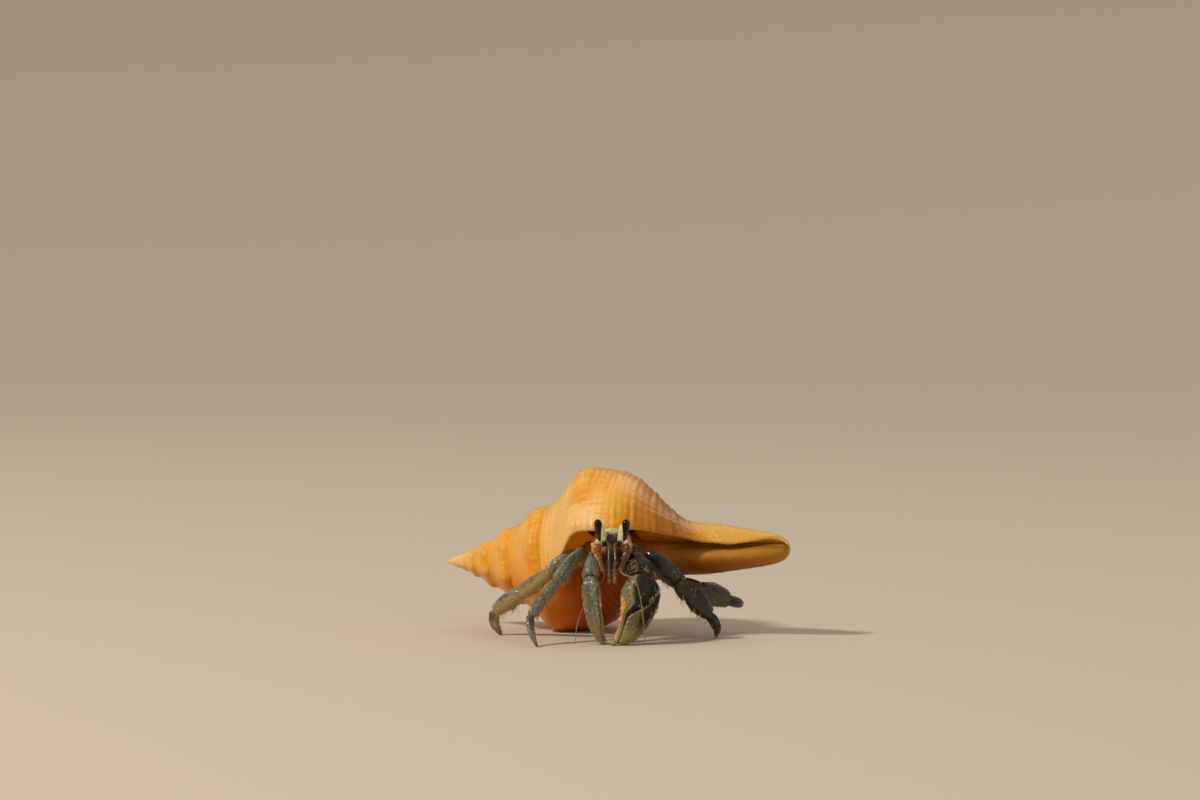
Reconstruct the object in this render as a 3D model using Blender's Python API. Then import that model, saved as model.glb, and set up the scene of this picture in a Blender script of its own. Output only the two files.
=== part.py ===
"""A land hermit crab walking in a spindle-shaped sea snail's shell, life size, as a still museum model.

Lengths are in millimetres in a working frame whose origin is the floor under the claw tips: X towards
the crab's left, Y towards its back and Z up. The last step scales to metres and centres the model.
"""

import math

import bmesh
import bpy
import numpy as np

MM = 0.001
FOOTPRINT_CENTRE = (0.49, 11.46)  # working X and Y of the middle of the model's box
HALF_GAP = 0.06  # half of the thin cut between two neighbouring pieces

# Shell: a helical whorl that grows by a fixed factor each turn, ending in an open siphonal canal.
SHELL_LENGTH = 41.3
APEX = np.array([-18.9, 22.6, 7.35])
AXIS_YAW = 20.0  # degrees that the canal end points towards the crab's front
AXIS_TILT = 1.4  # degrees that the canal end is raised
LENGTH_GROWTH = 1.53  # per turn, along the axis
WIDTH_GROWTH = 1.63  # per turn, across it
SHELL_TURNS = 6
STEPS_PER_TURN = 32
APERTURE_STEPS = 17  # how far back from the lip the aperture is hollow
# Degrees from straight up, towards the crab's front.
SUTURE_END_ANGLE = 101.0  # where the suture meets the lip
LIP_ANGLE = 68.0  # where the rest of the lip lies
LIP_THICKNESS = 0.55
WALL_THICKNESS = 1.0
SUTURE_X = 14.35  # distance from the apex to where the suture meets the lip
# Radius of the last whorl against the distance from the apex, where it is full grown.
WHORL_OUTLINE = [
    (13.3, 5.5), (14.4, 6.7), (15.6, 7.75), (16.9, 8.95), (18.1, 10.1), (19.8, 11.4), (21.3, 11.75),
    (23.3, 11.45), (25.8, 10.4), (27.2, 9.2), (29.2, 7.0), (30.6, 5.4), (32.0, 3.8), (33.8, 1.9),
    (35.6, 0.5), (37.0, 0.0),
]
LIP_FLARE = 0.05  # how much wider the last part of the last whorl is than the spiral alone
KNOBS_PER_TURN = 8
KNOB_ANGLE = 20.0  # degrees from straight up of one row of knobs
KNOB_HEIGHT = 0.42
BELLY = 1.1  # extra fullness of the underside between the last whorl and the canal
CANAL_RADIUS = 2.95
CANAL_BEND = 1.6  # how far the canal rises off the shell's axis
CANAL_SLOT_END = 113.0  # degrees from straight up where the canal's slot runs out on its inner lip
CANAL_SLOT_FLOOR = 0.42  # share of the canal's radius that is left under its slot

# Crab's trunk.
THORAX_FRONT = (0.0, 4.75, 10.35)
THORAX_REAR = (0.1, 9.5, 12.1)


def unit(vector):
    vector = np.asarray(vector, float)
    return vector / np.linalg.norm(vector)


def smooth_step(value):
    """0 below 0, 1 above 1 and a smooth S between."""
    value = np.clip(value, 0.0, 1.0)
    return value * value * (3.0 - 2.0 * value)


def height_on(points, x):
    """Height at x of the smooth curve through (x, height) points, a cubic between neighbours."""
    known, height = np.array(points, float).T
    slope = np.gradient(height, known)
    i = np.clip(np.searchsorted(known, x) - 1, 0, len(known) - 2)
    span = known[i + 1] - known[i]
    t = np.clip((x - known[i]) / span, 0.0, 1.0)
    start = (2 * t**3 - 3 * t**2 + 1) * height[i] + (t**3 - 2 * t**2 + t) * span * slope[i]
    end = (3 * t**2 - 2 * t**3) * height[i + 1] + (t**3 - t**2) * span * slope[i + 1]
    return start + end


def path_through(points, count):
    """count places spread along the smooth curve through a few points."""
    points = np.array(points, float)
    stations = np.arange(len(points))
    at = np.linspace(0, len(points) - 1, count)
    return np.stack([height_on(np.stack([stations, c], axis=1), at) for c in points.T], axis=1)


# ---------------------------------------------------------------- shell


def shell_axes():
    """Unit vectors of the shell: along the axis to the canal, up, and towards the crab's front."""
    yaw, tilt = math.radians(AXIS_YAW), math.radians(AXIS_TILT)
    level = np.array([math.cos(yaw), -math.sin(yaw), 0.0])
    along = math.cos(tilt) * level + math.sin(tilt) * np.array([0.0, 0.0, 1.0])
    up = unit(np.array([0.0, 0.0, 1.0]) - along[2] * along)
    return along, up, np.cross(along, up)


def lip_angle(along_axis):
    """Degrees from straight up of the lip's edge, which runs to the front at the suture and back up at
    the canal's tip."""
    at_suture = (SUTURE_END_ANGLE - LIP_ANGLE) * (1.0 - smooth_step((along_axis - 14.0) / 6.5))
    at_tip = 70.0 * np.clip((along_axis - 34.0) / 6.8, 0.0, 1.0) ** 2.2
    return LIP_ANGLE + at_suture - at_tip


def row_angle(along_axis, turn_back):
    """Degrees from straight up of a growth line: the last follow the lip, the rest lie along the axis."""
    follow = 1.0 - smooth_step(turn_back / 160.0)
    return SUTURE_END_ANGLE - turn_back + follow * (lip_angle(along_axis) - SUTURE_END_ANGLE)


def shell_place(along_axis, radius, angle):
    """Point of the shell at a distance along its axis, a radius, and degrees from straight up."""
    along, up, front = shell_axes()
    bend = CANAL_BEND * smooth_step((along_axis - 19.5) / 10.5)
    turn = np.radians(angle)
    side = np.cos(turn)[..., None] * up + np.sin(turn)[..., None] * front
    return APEX + along_axis[..., None] * along + bend[..., None] * up + radius[..., None] * side


def shell_radius(along_axis, back):
    """Outer radius of the whorl laid down some degrees before the suture's end: whorl and canal in one."""
    x = along_axis * LENGTH_GROWTH ** (back / 360.0)
    scale = WIDTH_GROWTH ** (-back / 360.0)
    whorl = scale * height_on(WHORL_OUTLINE, x)
    shoulder = np.exp(-(((x - 20.0) / 2.4) ** 2))
    knob = np.cos(np.radians(SUTURE_END_ANGLE - back - KNOB_ANGLE) * KNOBS_PER_TURN)
    whorl += scale * KNOB_HEIGHT * shoulder * knob
    whorl *= 1.0 + LIP_FLARE * smooth_step((300.0 - back) / 200.0) * smooth_step((x - SUTURE_X) / 4.0)
    under = np.maximum(np.cos(np.radians(SUTURE_END_ANGLE - back - 165.0)), 0.0)
    whorl += BELLY * under * np.exp(-(((along_axis - 22.5) / 3.6) ** 2)) * (whorl > 0.5)
    tip = np.sqrt(np.clip(1.0 - (np.minimum(along_axis, SHELL_LENGTH) / SHELL_LENGTH) ** 40, 0.0, 1.0))
    taper = 1.0 - 0.42 * smooth_step((along_axis - 29.5) / 12.5)
    canal = CANAL_RADIUS * taper * tip * smooth_step((along_axis - 12.0) / 9.0)
    lip = lip_angle(along_axis)
    past_lip = (SUTURE_END_ANGLE - back + 360.0 - lip) / (CANAL_SLOT_END - lip)
    slot = smooth_step((along_axis - 23.0) / 6.0) * (1.0 - smooth_step(past_lip)) * (back > 200.0)
    canal *= 1.0 - (1.0 - CANAL_SLOT_FLOOR) * slot
    return (np.maximum(whorl, 0.0) ** 4 + canal**4) ** 0.25


def build_shell():
    """The shell as one closed skin: the spire's helical strip, sewn to itself along the suture, then the
    whole last whorl, its lip, the inside of its wall, and the aperture's floor, the whorl before it."""
    n = STEPS_PER_TURN
    last = SHELL_TURNS * n
    lip_start = last - n
    deep = lip_start - APERTURE_STEPS
    strip, rest = 5, 14
    turn_back = (last - np.arange(last + 1)) * 360.0 / n
    # The spire starts at a point, so the first turn swells from nothing.
    bud = smooth_step(np.arange(last + 1) / n)[:, None]
    scale = bud * LENGTH_GROWTH ** (-turn_back[:, None] / 360.0)

    along = np.zeros((last + 1, strip + 1 + rest))
    along[:, : strip + 1] = scale * SUTURE_X * (1.0 + (LENGTH_GROWTH - 1.0) * np.linspace(0, 1, strip + 1))
    start = along[:, strip : strip + 1]
    along[:, strip + 1 :] = start + (SHELL_LENGTH - start) * (1.0 - np.linspace(1, 0, rest + 1)[1:] ** 1.3)
    back = turn_back[:, None] + 0.0 * along
    angle = row_angle(along, back)
    grown = SUTURE_END_ANGLE - angle  # the turn that a point's place on the surface belongs to
    radius = shell_radius(along / np.maximum(bud, 1e-3), grown) * bud
    outer = shell_place(along, radius, angle)
    outer[:n, 0] = outer[0, 0]
    outer[n:, 0] = outer[: last + 1 - n, strip]

    # Inner side of the last whorl's wall, between the aperture's floor and the outer side.
    inner_rows = np.arange(last - APERTURE_STEPS, last + 1)
    floor_start = along[inner_rows - n, strip + 1][:, None]
    share = (along[inner_rows] - along[inner_rows, :1]) / (SHELL_LENGTH - along[inner_rows, :1])
    in_along = floor_start + (SHELL_LENGTH - floor_start) * share
    in_angle = row_angle(in_along, back[inner_rows])
    in_grown = SUTURE_END_ANGLE - in_angle
    ceiling = shell_radius(in_along, in_grown)
    floor = shell_radius(in_along, in_grown + 360.0)
    depth = back[inner_rows] / (190.0 - 130.0 * smooth_step((in_along - 21.0) / 8.0))
    open_share = 1.0 - 0.97 * smooth_step((depth - 0.55) / 0.45)
    wall = LIP_THICKNESS + (WALL_THICKNESS - LIP_THICKNESS) * smooth_step(back[inner_rows] / 50.0)
    wall = np.minimum(wall, 0.45 * np.maximum(ceiling, 0.05))
    in_radius = floor + np.maximum(ceiling - wall - floor, 0.04) * open_share
    inner = shell_place(in_along, in_radius, in_angle)
    inner[:, 0] = outer[inner_rows - n, strip + 1]
    inner[:, -1] = outer[last, -1]

    width = along.shape[1]
    points = np.concatenate([outer.reshape(-1, 3), inner.reshape(-1, 3)])
    points[:, 2] = np.maximum(points[:, 2], 0.0)

    def out(i, j):
        return i * width + j

    def inside(i, j):
        return (last + 1) * width + (i - inner_rows[0]) * width + j

    faces = []
    for i in range(last):
        first_floor_column = strip + 1 if i < lip_start else strip
        for j in range(strip):
            faces.append((out(i, j), out(i, j + 1), out(i + 1, j + 1), out(i + 1, j)))
        if i >= deep:
            for j in range(first_floor_column, width - 1):
                faces.append((out(i, j), out(i, j + 1), out(i + 1, j + 1), out(i + 1, j)))
        if i >= inner_rows[0]:
            for j in range(width - 1):
                faces.append((inside(i, j), inside(i + 1, j), inside(i + 1, j + 1), inside(i, j + 1)))
    for j in range(width - 1):
        faces.append((out(last, j), out(last, j + 1), inside(last, j + 1), inside(last, j)))
    # The end of the hollow, deep in the whorl.
    i = inner_rows[0]
    faces.append([inside(i, j) for j in range(width)] + [out(deep, j) for j in range(width - 2, strip, -1)])
    add_object("shell", points, faces, "shell_orange")


# ---------------------------------------------------------------- meshes and materials


COLOURS = {
    "shell_orange": ((0.80, 0.42, 0.12), 0.3),
    "shield_grey": ((0.42, 0.38, 0.27), 0.4),
    "claw_grey": ((0.20, 0.19, 0.15), 0.4),
    "leg_grey": ((0.26, 0.27, 0.24), 0.4),
    "mouth_brown": ((0.35, 0.18, 0.08), 0.4),
    "soft_tan": ((0.55, 0.36, 0.24), 0.6),
    "cornea_black": ((0.02, 0.01, 0.01), 0.1),
    "stalk_cream": ((0.66, 0.62, 0.44), 0.4),
}


def material(name):
    found = bpy.data.materials.get(name)
    if found:
        return found
    colour, roughness = COLOURS[name]
    made = bpy.data.materials.new(name)
    made.use_nodes = True
    shader = made.node_tree.nodes["Principled BSDF"]
    shader.inputs["Base Color"].default_value = (*colour, 1.0)
    shader.inputs["Roughness"].default_value = roughness
    shader.inputs["Metallic"].default_value = 0.0
    return made


def add_object(name, points, faces, finish):
    """A named object from points in millimetres, with meeting points merged and faces turned outwards."""
    shift = np.array([FOOTPRINT_CENTRE[0], FOOTPRINT_CENTRE[1], 0.0])
    mesh = bpy.data.meshes.new(name)
    mesh.from_pydata(((np.asarray(points) - shift) * MM).tolist(), [], [list(map(int, f)) for f in faces])
    work = bmesh.new()
    work.from_mesh(mesh)
    bmesh.ops.remove_doubles(work, verts=work.verts, dist=0.002 * MM)
    bmesh.ops.dissolve_degenerate(work, edges=work.edges, dist=0.001 * MM)
    bmesh.ops.triangulate(work, faces=[f for f in work.faces if len(f.verts) > 3])
    bmesh.ops.recalc_face_normals(work, faces=work.faces)
    work.to_mesh(mesh)
    work.free()
    mesh.shade_smooth()
    mesh.set_sharp_from_angle(angle=math.radians(50))
    mesh.materials.append(material(finish))
    made = bpy.data.objects.new(name, mesh)
    bpy.context.scene.collection.objects.link(made)
    return made


def swept(
    name, path, wide, deep, across, finish, start_cut=None, end_cut=None, sides=10, squareness=1.0
):
    """A closed body of oval sections along a path. wide and deep are half breadths at each place, wide
    lying towards across. A cut is a (point, normal) plane, normal along the path, that an end slides to."""
    path = np.array(path, float)
    wide, deep = np.broadcast_to(wide, len(path)), np.broadcast_to(deep, len(path))
    tangent = np.gradient(path, axis=0)
    tangent /= np.linalg.norm(tangent, axis=1, keepdims=True)
    u = np.asarray(across, float) - (tangent @ np.asarray(across, float))[:, None] * tangent
    u /= np.linalg.norm(u, axis=1, keepdims=True)
    v = np.cross(tangent, u)
    turn = np.linspace(0, 2 * math.pi, sides, endpoint=False)
    c = np.sign(np.cos(turn)) * np.abs(np.cos(turn)) ** squareness
    s = np.sign(np.sin(turn)) * np.abs(np.sin(turn)) ** squareness
    rings = (
        path[:, None]
        + (wide[:, None] * c)[..., None] * u[:, None]
        + (deep[:, None] * s)[..., None] * v[:, None]
    )
    for cut, end, keep in ((start_cut, 0, 1.0), (end_cut, -1, -1.0)):
        if cut is None:
            continue
        point, normal = np.asarray(cut[0], float), unit(cut[1])
        short = np.maximum(keep * ((point - rings) @ normal), 0.0)
        reach = (point - rings[end]) @ normal
        slide = keep * short
        slide[end] = reach
        rings = rings + (slide / (tangent @ normal)[:, None])[..., None] * tangent[:, None]
    n = len(path)
    faces = [tuple(range(sides)), tuple((n - 1) * sides + k for k in range(sides))]
    for i in range(n - 1):
        for k in range(sides):
            m = (k + 1) % sides
            faces.append((i * sides + k, i * sides + m, (i + 1) * sides + m, (i + 1) * sides + k))
    return add_object(name, rings.reshape(-1, 3), faces, finish)


# ---------------------------------------------------------------- limbs

CUTTER_REACH = 9.0  # how far a cutter runs past the hand that it parts

# The places of each walking leg's joints, from its base on the thorax to its tip, and for the base, merus,
# carpus, propodus and dactyl in turn: half heights at the start, in the middle and at the end.
WALKING_LEGS = {
    "leg2_right": dict(
        joints=[(-1.5, 7.4, 8.4), (-3.3, 6.3, 10.2), (-6.2, 3.5, 6.75), (-7.6, 2.2, 4.95), (-9.0, 0.7, 3.1),
                (-8.15, -1.2, 0.0)],
        girths=[(0.6, 0.6, 0.5), (0.5, 0.75, 0.66), (0.56, 0.68, 0.66), (0.62, 0.68, 0.5),
                (0.54, 0.5, 0.26)],
    ),
    "leg3_right": dict(
        joints=[(-1.7, 8.8, 8.3), (-4.1, 7.4, 9.75), (-7.1, 6.6, 7.4), (-10.1, 9.6, 4.85),
                (-13.2, 11.4, 2.6), (-12.3, 11.2, 0.0)],
        girths=[(0.6, 0.6, 0.5), (0.5, 0.7, 0.66), (0.6, 0.82, 0.82), (0.84, 0.95, 0.62),
                (0.64, 0.56, 0.26)],
    ),
    "leg2_left": dict(
        joints=[(1.6, 7.4, 8.4), (4.0, 6.2, 9.7), (7.4, 5.2, 6.5), (8.7, 5.9, 5.0), (10.9, 7.4, 2.6),
                (11.6, 9.0, 0.0)],
        girths=[(0.6, 0.6, 0.55), (0.6, 1.0, 0.95), (0.88, 1.02, 1.05), (1.05, 1.15, 0.74),
                (0.66, 0.56, 0.26)],
    ),
    "leg3_left": dict(
        joints=[(1.9, 8.8, 8.2), (4.3, 8.2, 8.1), (7.9, 9.0, 5.9), (9.8, 10.8, 4.9), (13.1, 14.2, 3.7),
                (14.6, 17.0, 2.7)],
        girths=[(0.6, 0.6, 0.55), (0.6, 0.85, 0.85), (0.85, 1.0, 1.05), (1.1, 1.25, 0.86),
                (0.62, 0.54, 0.26)],
    ),
}
LEG_SEGMENTS = ("base", "merus", "carpus", "propodus", "dactyl")
LEG_FLATNESS = 0.72  # thickness of a leg against its height
DACTYL_BOW = 0.42  # how far a dactyl curves outwards from its chord
# The left one of the small legs that stay inside the shell, from its base to its tip.
HIND_LEG = [(2.3, 9.6, 10.3), (3.0, 10.8, 10.4), (3.4, 10.6, 9.3), (2.9, 9.95, 8.3)]


def swell(sizes, share):
    """Half breadth along a segment, from its start through its middle to its end."""
    return height_on(list(zip((0.0, 0.5, 1.0), sizes)), share)


def joint_planes(joints):
    """A cutting plane at each joint, halfway between the directions of the segments that meet there."""
    directions = [unit(b - a) for a, b in zip(joints[:-1], joints[1:])]
    middles = [unit(a + b) for a, b in zip(directions[:-1], directions[1:])]
    return list(zip(joints, [directions[0], *middles, directions[-1]]))


def moved(plane, distance):
    return (plane[0] + distance * unit(plane[1]), plane[1])


def build_leg(leg, sizes):
    """A walking leg: base, merus, carpus, propodus and a claw-like dactyl that bows outwards to its tip."""
    joints = [np.array(j, float) for j in sizes["joints"]]
    planes = joint_planes(joints)
    if joints[-1][2] == 0.0:
        planes[-1] = (joints[-1], np.array([0.0, 0.0, -1.0]))
    outward = unit((joints[4] - joints[0]) * (1, 1, 0))
    share = np.linspace(0, 1, 6)
    for k, part in enumerate(LEG_SEGMENTS):
        start, end = joints[k], joints[k + 1]
        path = start + share[:, None] * (end - start)
        if part == "base":
            # The base leaves the thorax sideways, then turns up to the hip.
            corner = np.array([start[0] + 0.75 * (end[0] - start[0]), start[1], start[2] + 0.1])
            path = path_through([start, corner, end], 6)
            planes[0] = (start, unit(corner - start))
            planes[1] = (end, unit(unit(end - corner) + unit(joints[2] - end)))
        if part == "dactyl":
            bow = outward - (outward @ unit(end - start)) * unit(end - start)
            path = path + DACTYL_BOW * np.sin(math.pi * share)[:, None] * bow
        height = swell(sizes["girths"][k], share)
        across = outward if part == "dactyl" else (0.0, 0.0, 1.0)
        end_gap = 0.0 if part == "dactyl" else HALF_GAP
        swept(
            f"{leg}_{part}", path, height, height * LEG_FLATNESS, across, "leg_grey",
            start_cut=moved(planes[k], HALF_GAP), end_cut=moved(planes[k + 1], -end_gap), sides=9,
        )


# The claws. A hand is given by its middle line from the wrist to the finger tips, with its half widths and
# half depths along it, and the line that parts the movable finger from it, as X and Z from hinge to tip.
HANDS = {
    "claw_left": dict(
        shoulder=(1.2, 5.6, 8.2), top=(3.1, 3.8, 9.7), wrist=(3.1, 2.4, 7.45), arm=(0.75, 0.95, 0.85),
        carpus=(0.8, 1.45, 1.35),
        line=[(3.1, 2.4, 7.45), (3.2, 2.0, 6.3), (3.1, 1.8, 5.2), (2.95, 1.6, 4.2), (2.65, 1.4, 3.0),
              (2.2, 1.15, 2.0), (1.4, 0.8, 1.0), (0.35, 0.4, 0.0)],
        wide=(1.25, 2.1, 2.2, 2.05, 1.72, 1.45, 1.1, 0.5),
        deep=(1.0, 1.35, 1.45, 1.35, 1.1, 0.9, 0.65, 0.35),
        parting=[(6.6, 6.7), (5.0, 5.5), (4.2, 4.6), (2.55, 3.9), (1.7, 3.2), (1.0, 1.1), (0.3, -0.6)],
    ),
    "claw_right": dict(
        shoulder=(-1.2, 5.6, 8.2), top=(-2.35, 3.7, 9.8), wrist=(-2.35, 2.4, 7.35), arm=(0.5, 0.65, 0.5),
        carpus=(0.5, 0.85, 0.86),
        line=[(-2.35, 2.4, 7.35), (-2.3, 2.0, 6.4), (-2.2, 1.8, 5.3), (-2.07, 1.7, 4.2), (-1.87, 1.6, 3.0),
              (-1.62, 1.5, 1.8), (-1.25, 1.4, 0.8), (-0.75, 1.3, 0.0)],
        wide=(0.75, 0.92, 0.95, 0.88, 0.8, 0.68, 0.5, 0.26),
        deep=(0.7, 0.88, 0.92, 0.85, 0.75, 0.62, 0.48, 0.26),
        parting=[(0.4, 5.2), (-0.9, 4.4), (-1.43, 3.6), (-1.3, 1.7), (-0.72, -0.3)],
    ),
}


def parting_prism(name, line, gap):
    """A prism through the hand on the movable finger's side of the parting line, moved off it by a gap."""
    line = np.array(line, float)
    run = np.gradient(line, axis=0)
    normal = np.stack([-run[:, 1], run[:, 0]], axis=1) / np.linalg.norm(run, axis=1, keepdims=True)
    line = line + gap * normal
    far_side = line[-1][0] + CUTTER_REACH
    outline = [*line, (far_side, line[-1][1]), (far_side, line[0][1])]
    n = len(outline)
    points = [(x, y, z) for y in (-CUTTER_REACH, CUTTER_REACH) for x, z in outline]
    faces = [tuple(range(n)), tuple(range(2 * n - 1, n - 1, -1))]
    faces += [(k, (k + 1) % n, n + (k + 1) % n, n + k) for k in range(n)]
    prism = add_object(name, points, faces, "claw_grey")
    prism.hide_render = True
    prism.display_type = "WIRE"
    return prism


def build_claw(claw, sizes):
    """A claw: arm, carpus, a palm that ends in the fixed finger, and the movable finger."""
    joints = [np.array(sizes[place], float) for place in ("shoulder", "top", "wrist")]
    line = path_through(sizes["line"], 15)
    planes = joint_planes([*joints, line[3]])
    share = np.linspace(0, 1, 5)
    for k, part in enumerate(("arm", "carpus")):
        half = swell(sizes[part], share)
        swept(
            f"{claw}_{part}", joints[k] + share[:, None] * (joints[k + 1] - joints[k]), half, half * 0.85,
            (1.0, 0.0, 0.0), "claw_grey", start_cut=moved(planes[k], HALF_GAP),
            end_cut=moved(planes[k + 1], -HALF_GAP),
        )
    stations = np.linspace(0, len(sizes["wide"]) - 1, len(line))
    wide = height_on(list(enumerate(sizes["wide"])), stations)
    deep = height_on(list(enumerate(sizes["deep"])), stations)
    for part, operation, gap in (("palm", "DIFFERENCE", -HALF_GAP), ("finger", "INTERSECT", HALF_GAP)):
        hand = swept(
            f"{claw}_{part}", line, wide, deep, (1.0, 0.0, 0.0), "claw_grey", sides=12,
            start_cut=moved(planes[2], HALF_GAP), end_cut=((0.0, 0.0, 0.0), (0.0, 0.0, -1.0)),
        )
        cut = hand.modifiers.new("parting", "BOOLEAN")
        cut.operation = operation
        cut.object = parting_prism(f"{claw}_{part}_parting", sizes["parting"], gap)
        cut.solver = "EXACT"


def build_hind_legs():
    """The short fourth legs, folded beside the thorax inside the shell, where they brace the crab."""
    for side, name in ((-1.0, "right"), (1.0, "left")):
        folded = path_through([(side * x, y, z) for x, y, z in HIND_LEG], 9)
        swept(f"leg4_{name}", folded, 0.34, 0.3, (0.0, 0.0, 1.0), "leg_grey", sides=7)


# ---------------------------------------------------------------- body and head

STALK_SHARE = 0.45  # of the eye's whole length


def build_body():
    """The thorax under its hard shield, and the soft abdomen that follows the whorl up into the shell."""
    path = path_through([THORAX_FRONT, (0.05, 7.3, 10.9), THORAX_REAR], 8)
    share = np.linspace(0, 1, 8)
    swept(
        "thorax", path, 1.75 + 0.45 * np.sin(math.pi * share**0.8),
        1.25 + 0.35 * np.sin(math.pi * share**0.7), (1.0, 0.0, 0.0), "shield_grey", sides=12,
        squareness=0.8,
    )
    angle = SUTURE_END_ANGLE - np.linspace(66.0, 134.0, 8)
    back = SUTURE_END_ANGLE - angle
    along_axis = 22.0 * LENGTH_GROWTH ** (-back / 360.0)
    floor = shell_radius(along_axis, back + 360.0)
    ceiling = shell_radius(along_axis, back) - WALL_THICKNESS
    room = ceiling - floor
    swept(
        "abdomen", shell_place(along_axis, 0.5 * (floor + ceiling), angle),
        0.4 * room * np.linspace(1.0, 0.55, 8), 0.35 * room * np.linspace(1.0, 0.5, 8), shell_axes()[0],
        "soft_tan", sides=10,
    )


def build_eye(name, side):
    """A stalk and, past a thin cut, the cornea that caps it, narrowing to a blunt tip."""
    share = np.linspace(0, 1, 5)
    base, top = np.array([side * 0.93, 4.0, 10.85]), np.array([side * 1.47, 3.5, 13.72])
    split = base + STALK_SHARE * (top - base)
    swept(
        f"eyestalk_{name}", base + share[:, None] * (split - base), [0.48, 0.55, 0.6, 0.61, 0.61],
        [0.42, 0.46, 0.5, 0.51, 0.51], (1.0, 0.0, 0.0), "stalk_cream", sides=9,
    )
    start = split + 2.0 * HALF_GAP * unit(top - base)
    swept(
        f"eye_{name}", start + np.sin(0.5 * math.pi * share)[:, None] * (top - start),
        [0.61, 0.58, 0.49, 0.36, 0.12], [0.51, 0.49, 0.42, 0.32, 0.12], (1.0, 0.0, 0.0),
        "cornea_black", sides=9,
    )


# Where each antenna's whip runs on from its stout base, down to just over the floor.
WHIPS = {
    "right": [(-1.0, 3.3, 7.0), (-2.6, 3.6, 5.0), (-3.75, 0.6, 2.6), (-4.1, -2.6, 0.35)],
    "left": [(1.25, 0.3, 7.9), (2.6, -0.6, 7.2), (3.3, -1.4, 4.2), (3.65, -2.6, 0.35)],
}


def build_head():
    """Eyes on their stalks, antennules, antennae with their whips, and the third maxillipeds."""
    ahead = (1.0, 0.0, 0.0)
    for side, name in ((-1.0, "right"), (1.0, "left")):
        build_eye(name, side)
        base = [(side * 1.95, 3.8, 10.75), (side * 1.55, 3.1, 9.8), (side * 0.95, 2.55, 8.3)]
        antenna = path_through(base + WHIPS[name], 22)
        thick = np.interp(np.arange(22), [0, 2, 7, 9, 21], [0.42, 0.45, 0.3, 0.26, 0.26])
        swept(f"antenna_{name}", antenna, thick, thick, (1.0, 0.1, 0.3), "mouth_brown", sides=6)
        antennule = path_through(
            [(side * 0.32, 3.9, 11.0), (side * 0.34, 2.6, 10.3), (side * 0.36, 1.9, 8.9),
             (side * 0.3, 1.9, 7.7)], 8
        )
        swept(f"antennule_{name}", antennule, 0.26, 0.26, ahead, "mouth_brown", sides=6)
        palp = path_through(
            [(side * 0.42, 4.6, 8.6), (side * 0.42, 3.5, 8.9), (side * 0.35, 3.15, 8.0),
             (side * 0.3, 3.1, 6.6)], 7
        )
        thick = [0.3, 0.36, 0.36, 0.34, 0.32, 0.3, 0.26]
        swept(f"maxilliped_{name}", palp, thick, 0.3, ahead, "mouth_brown", sides=6)


def main():
    for old in list(bpy.data.objects):
        bpy.data.objects.remove(old)
    build_shell()
    build_body()
    build_head()
    for claw, sizes in HANDS.items():
        build_claw(claw, sizes)
    for leg, joints in WALKING_LEGS.items():
        build_leg(leg, joints)
    build_hind_legs()


main()
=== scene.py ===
import math

import bpy
import numpy as np
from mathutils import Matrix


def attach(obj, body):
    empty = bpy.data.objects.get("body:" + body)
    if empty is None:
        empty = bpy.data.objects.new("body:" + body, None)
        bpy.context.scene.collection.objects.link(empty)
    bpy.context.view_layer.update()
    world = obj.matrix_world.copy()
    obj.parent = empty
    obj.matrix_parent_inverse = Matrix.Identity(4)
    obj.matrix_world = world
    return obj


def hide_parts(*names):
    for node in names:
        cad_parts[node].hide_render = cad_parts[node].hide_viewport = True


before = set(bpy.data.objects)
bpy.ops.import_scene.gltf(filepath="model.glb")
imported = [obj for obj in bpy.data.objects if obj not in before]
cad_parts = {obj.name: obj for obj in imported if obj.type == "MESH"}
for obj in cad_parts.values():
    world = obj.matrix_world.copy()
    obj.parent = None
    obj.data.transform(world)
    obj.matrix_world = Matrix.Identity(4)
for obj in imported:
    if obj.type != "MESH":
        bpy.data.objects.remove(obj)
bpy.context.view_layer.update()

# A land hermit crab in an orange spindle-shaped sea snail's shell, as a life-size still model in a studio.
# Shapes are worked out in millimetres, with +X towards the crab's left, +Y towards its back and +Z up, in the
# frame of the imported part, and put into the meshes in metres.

MM = 0.001

# ---------------------------------------------------------------- shell
# The snail shell that the crab wears: glossy lime with a thin orange skin, one long cone coiled to the right,
# with spiral cords, a knobbed shoulder and an open canal at its front end. The crab holds it on with its hind
# legs.

APEX = np.array([-19.39, 11.14, 7.35])
AXIS_YAW, AXIS_TILT = math.radians(20.0), math.radians(1.4)
SHELL_LENGTH = 41.3
TURNS, STEPS_PER_TURN = 6, 128
LENGTH_GROWTH, WIDTH_GROWTH = 1.53, 1.63  # each turn, along the axis and across it
SUTURE_END_ANGLE, LIP_ANGLE = 101.0, 68.0  # degrees from straight up, towards the crab's front
SUTURE_X = 14.35
MOUTH_BACK = 200.0  # degrees of growth beyond which the mouth's floor and the canal's slot lie
APEX_DOME = 1.0  # length of the blunt tip
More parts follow.
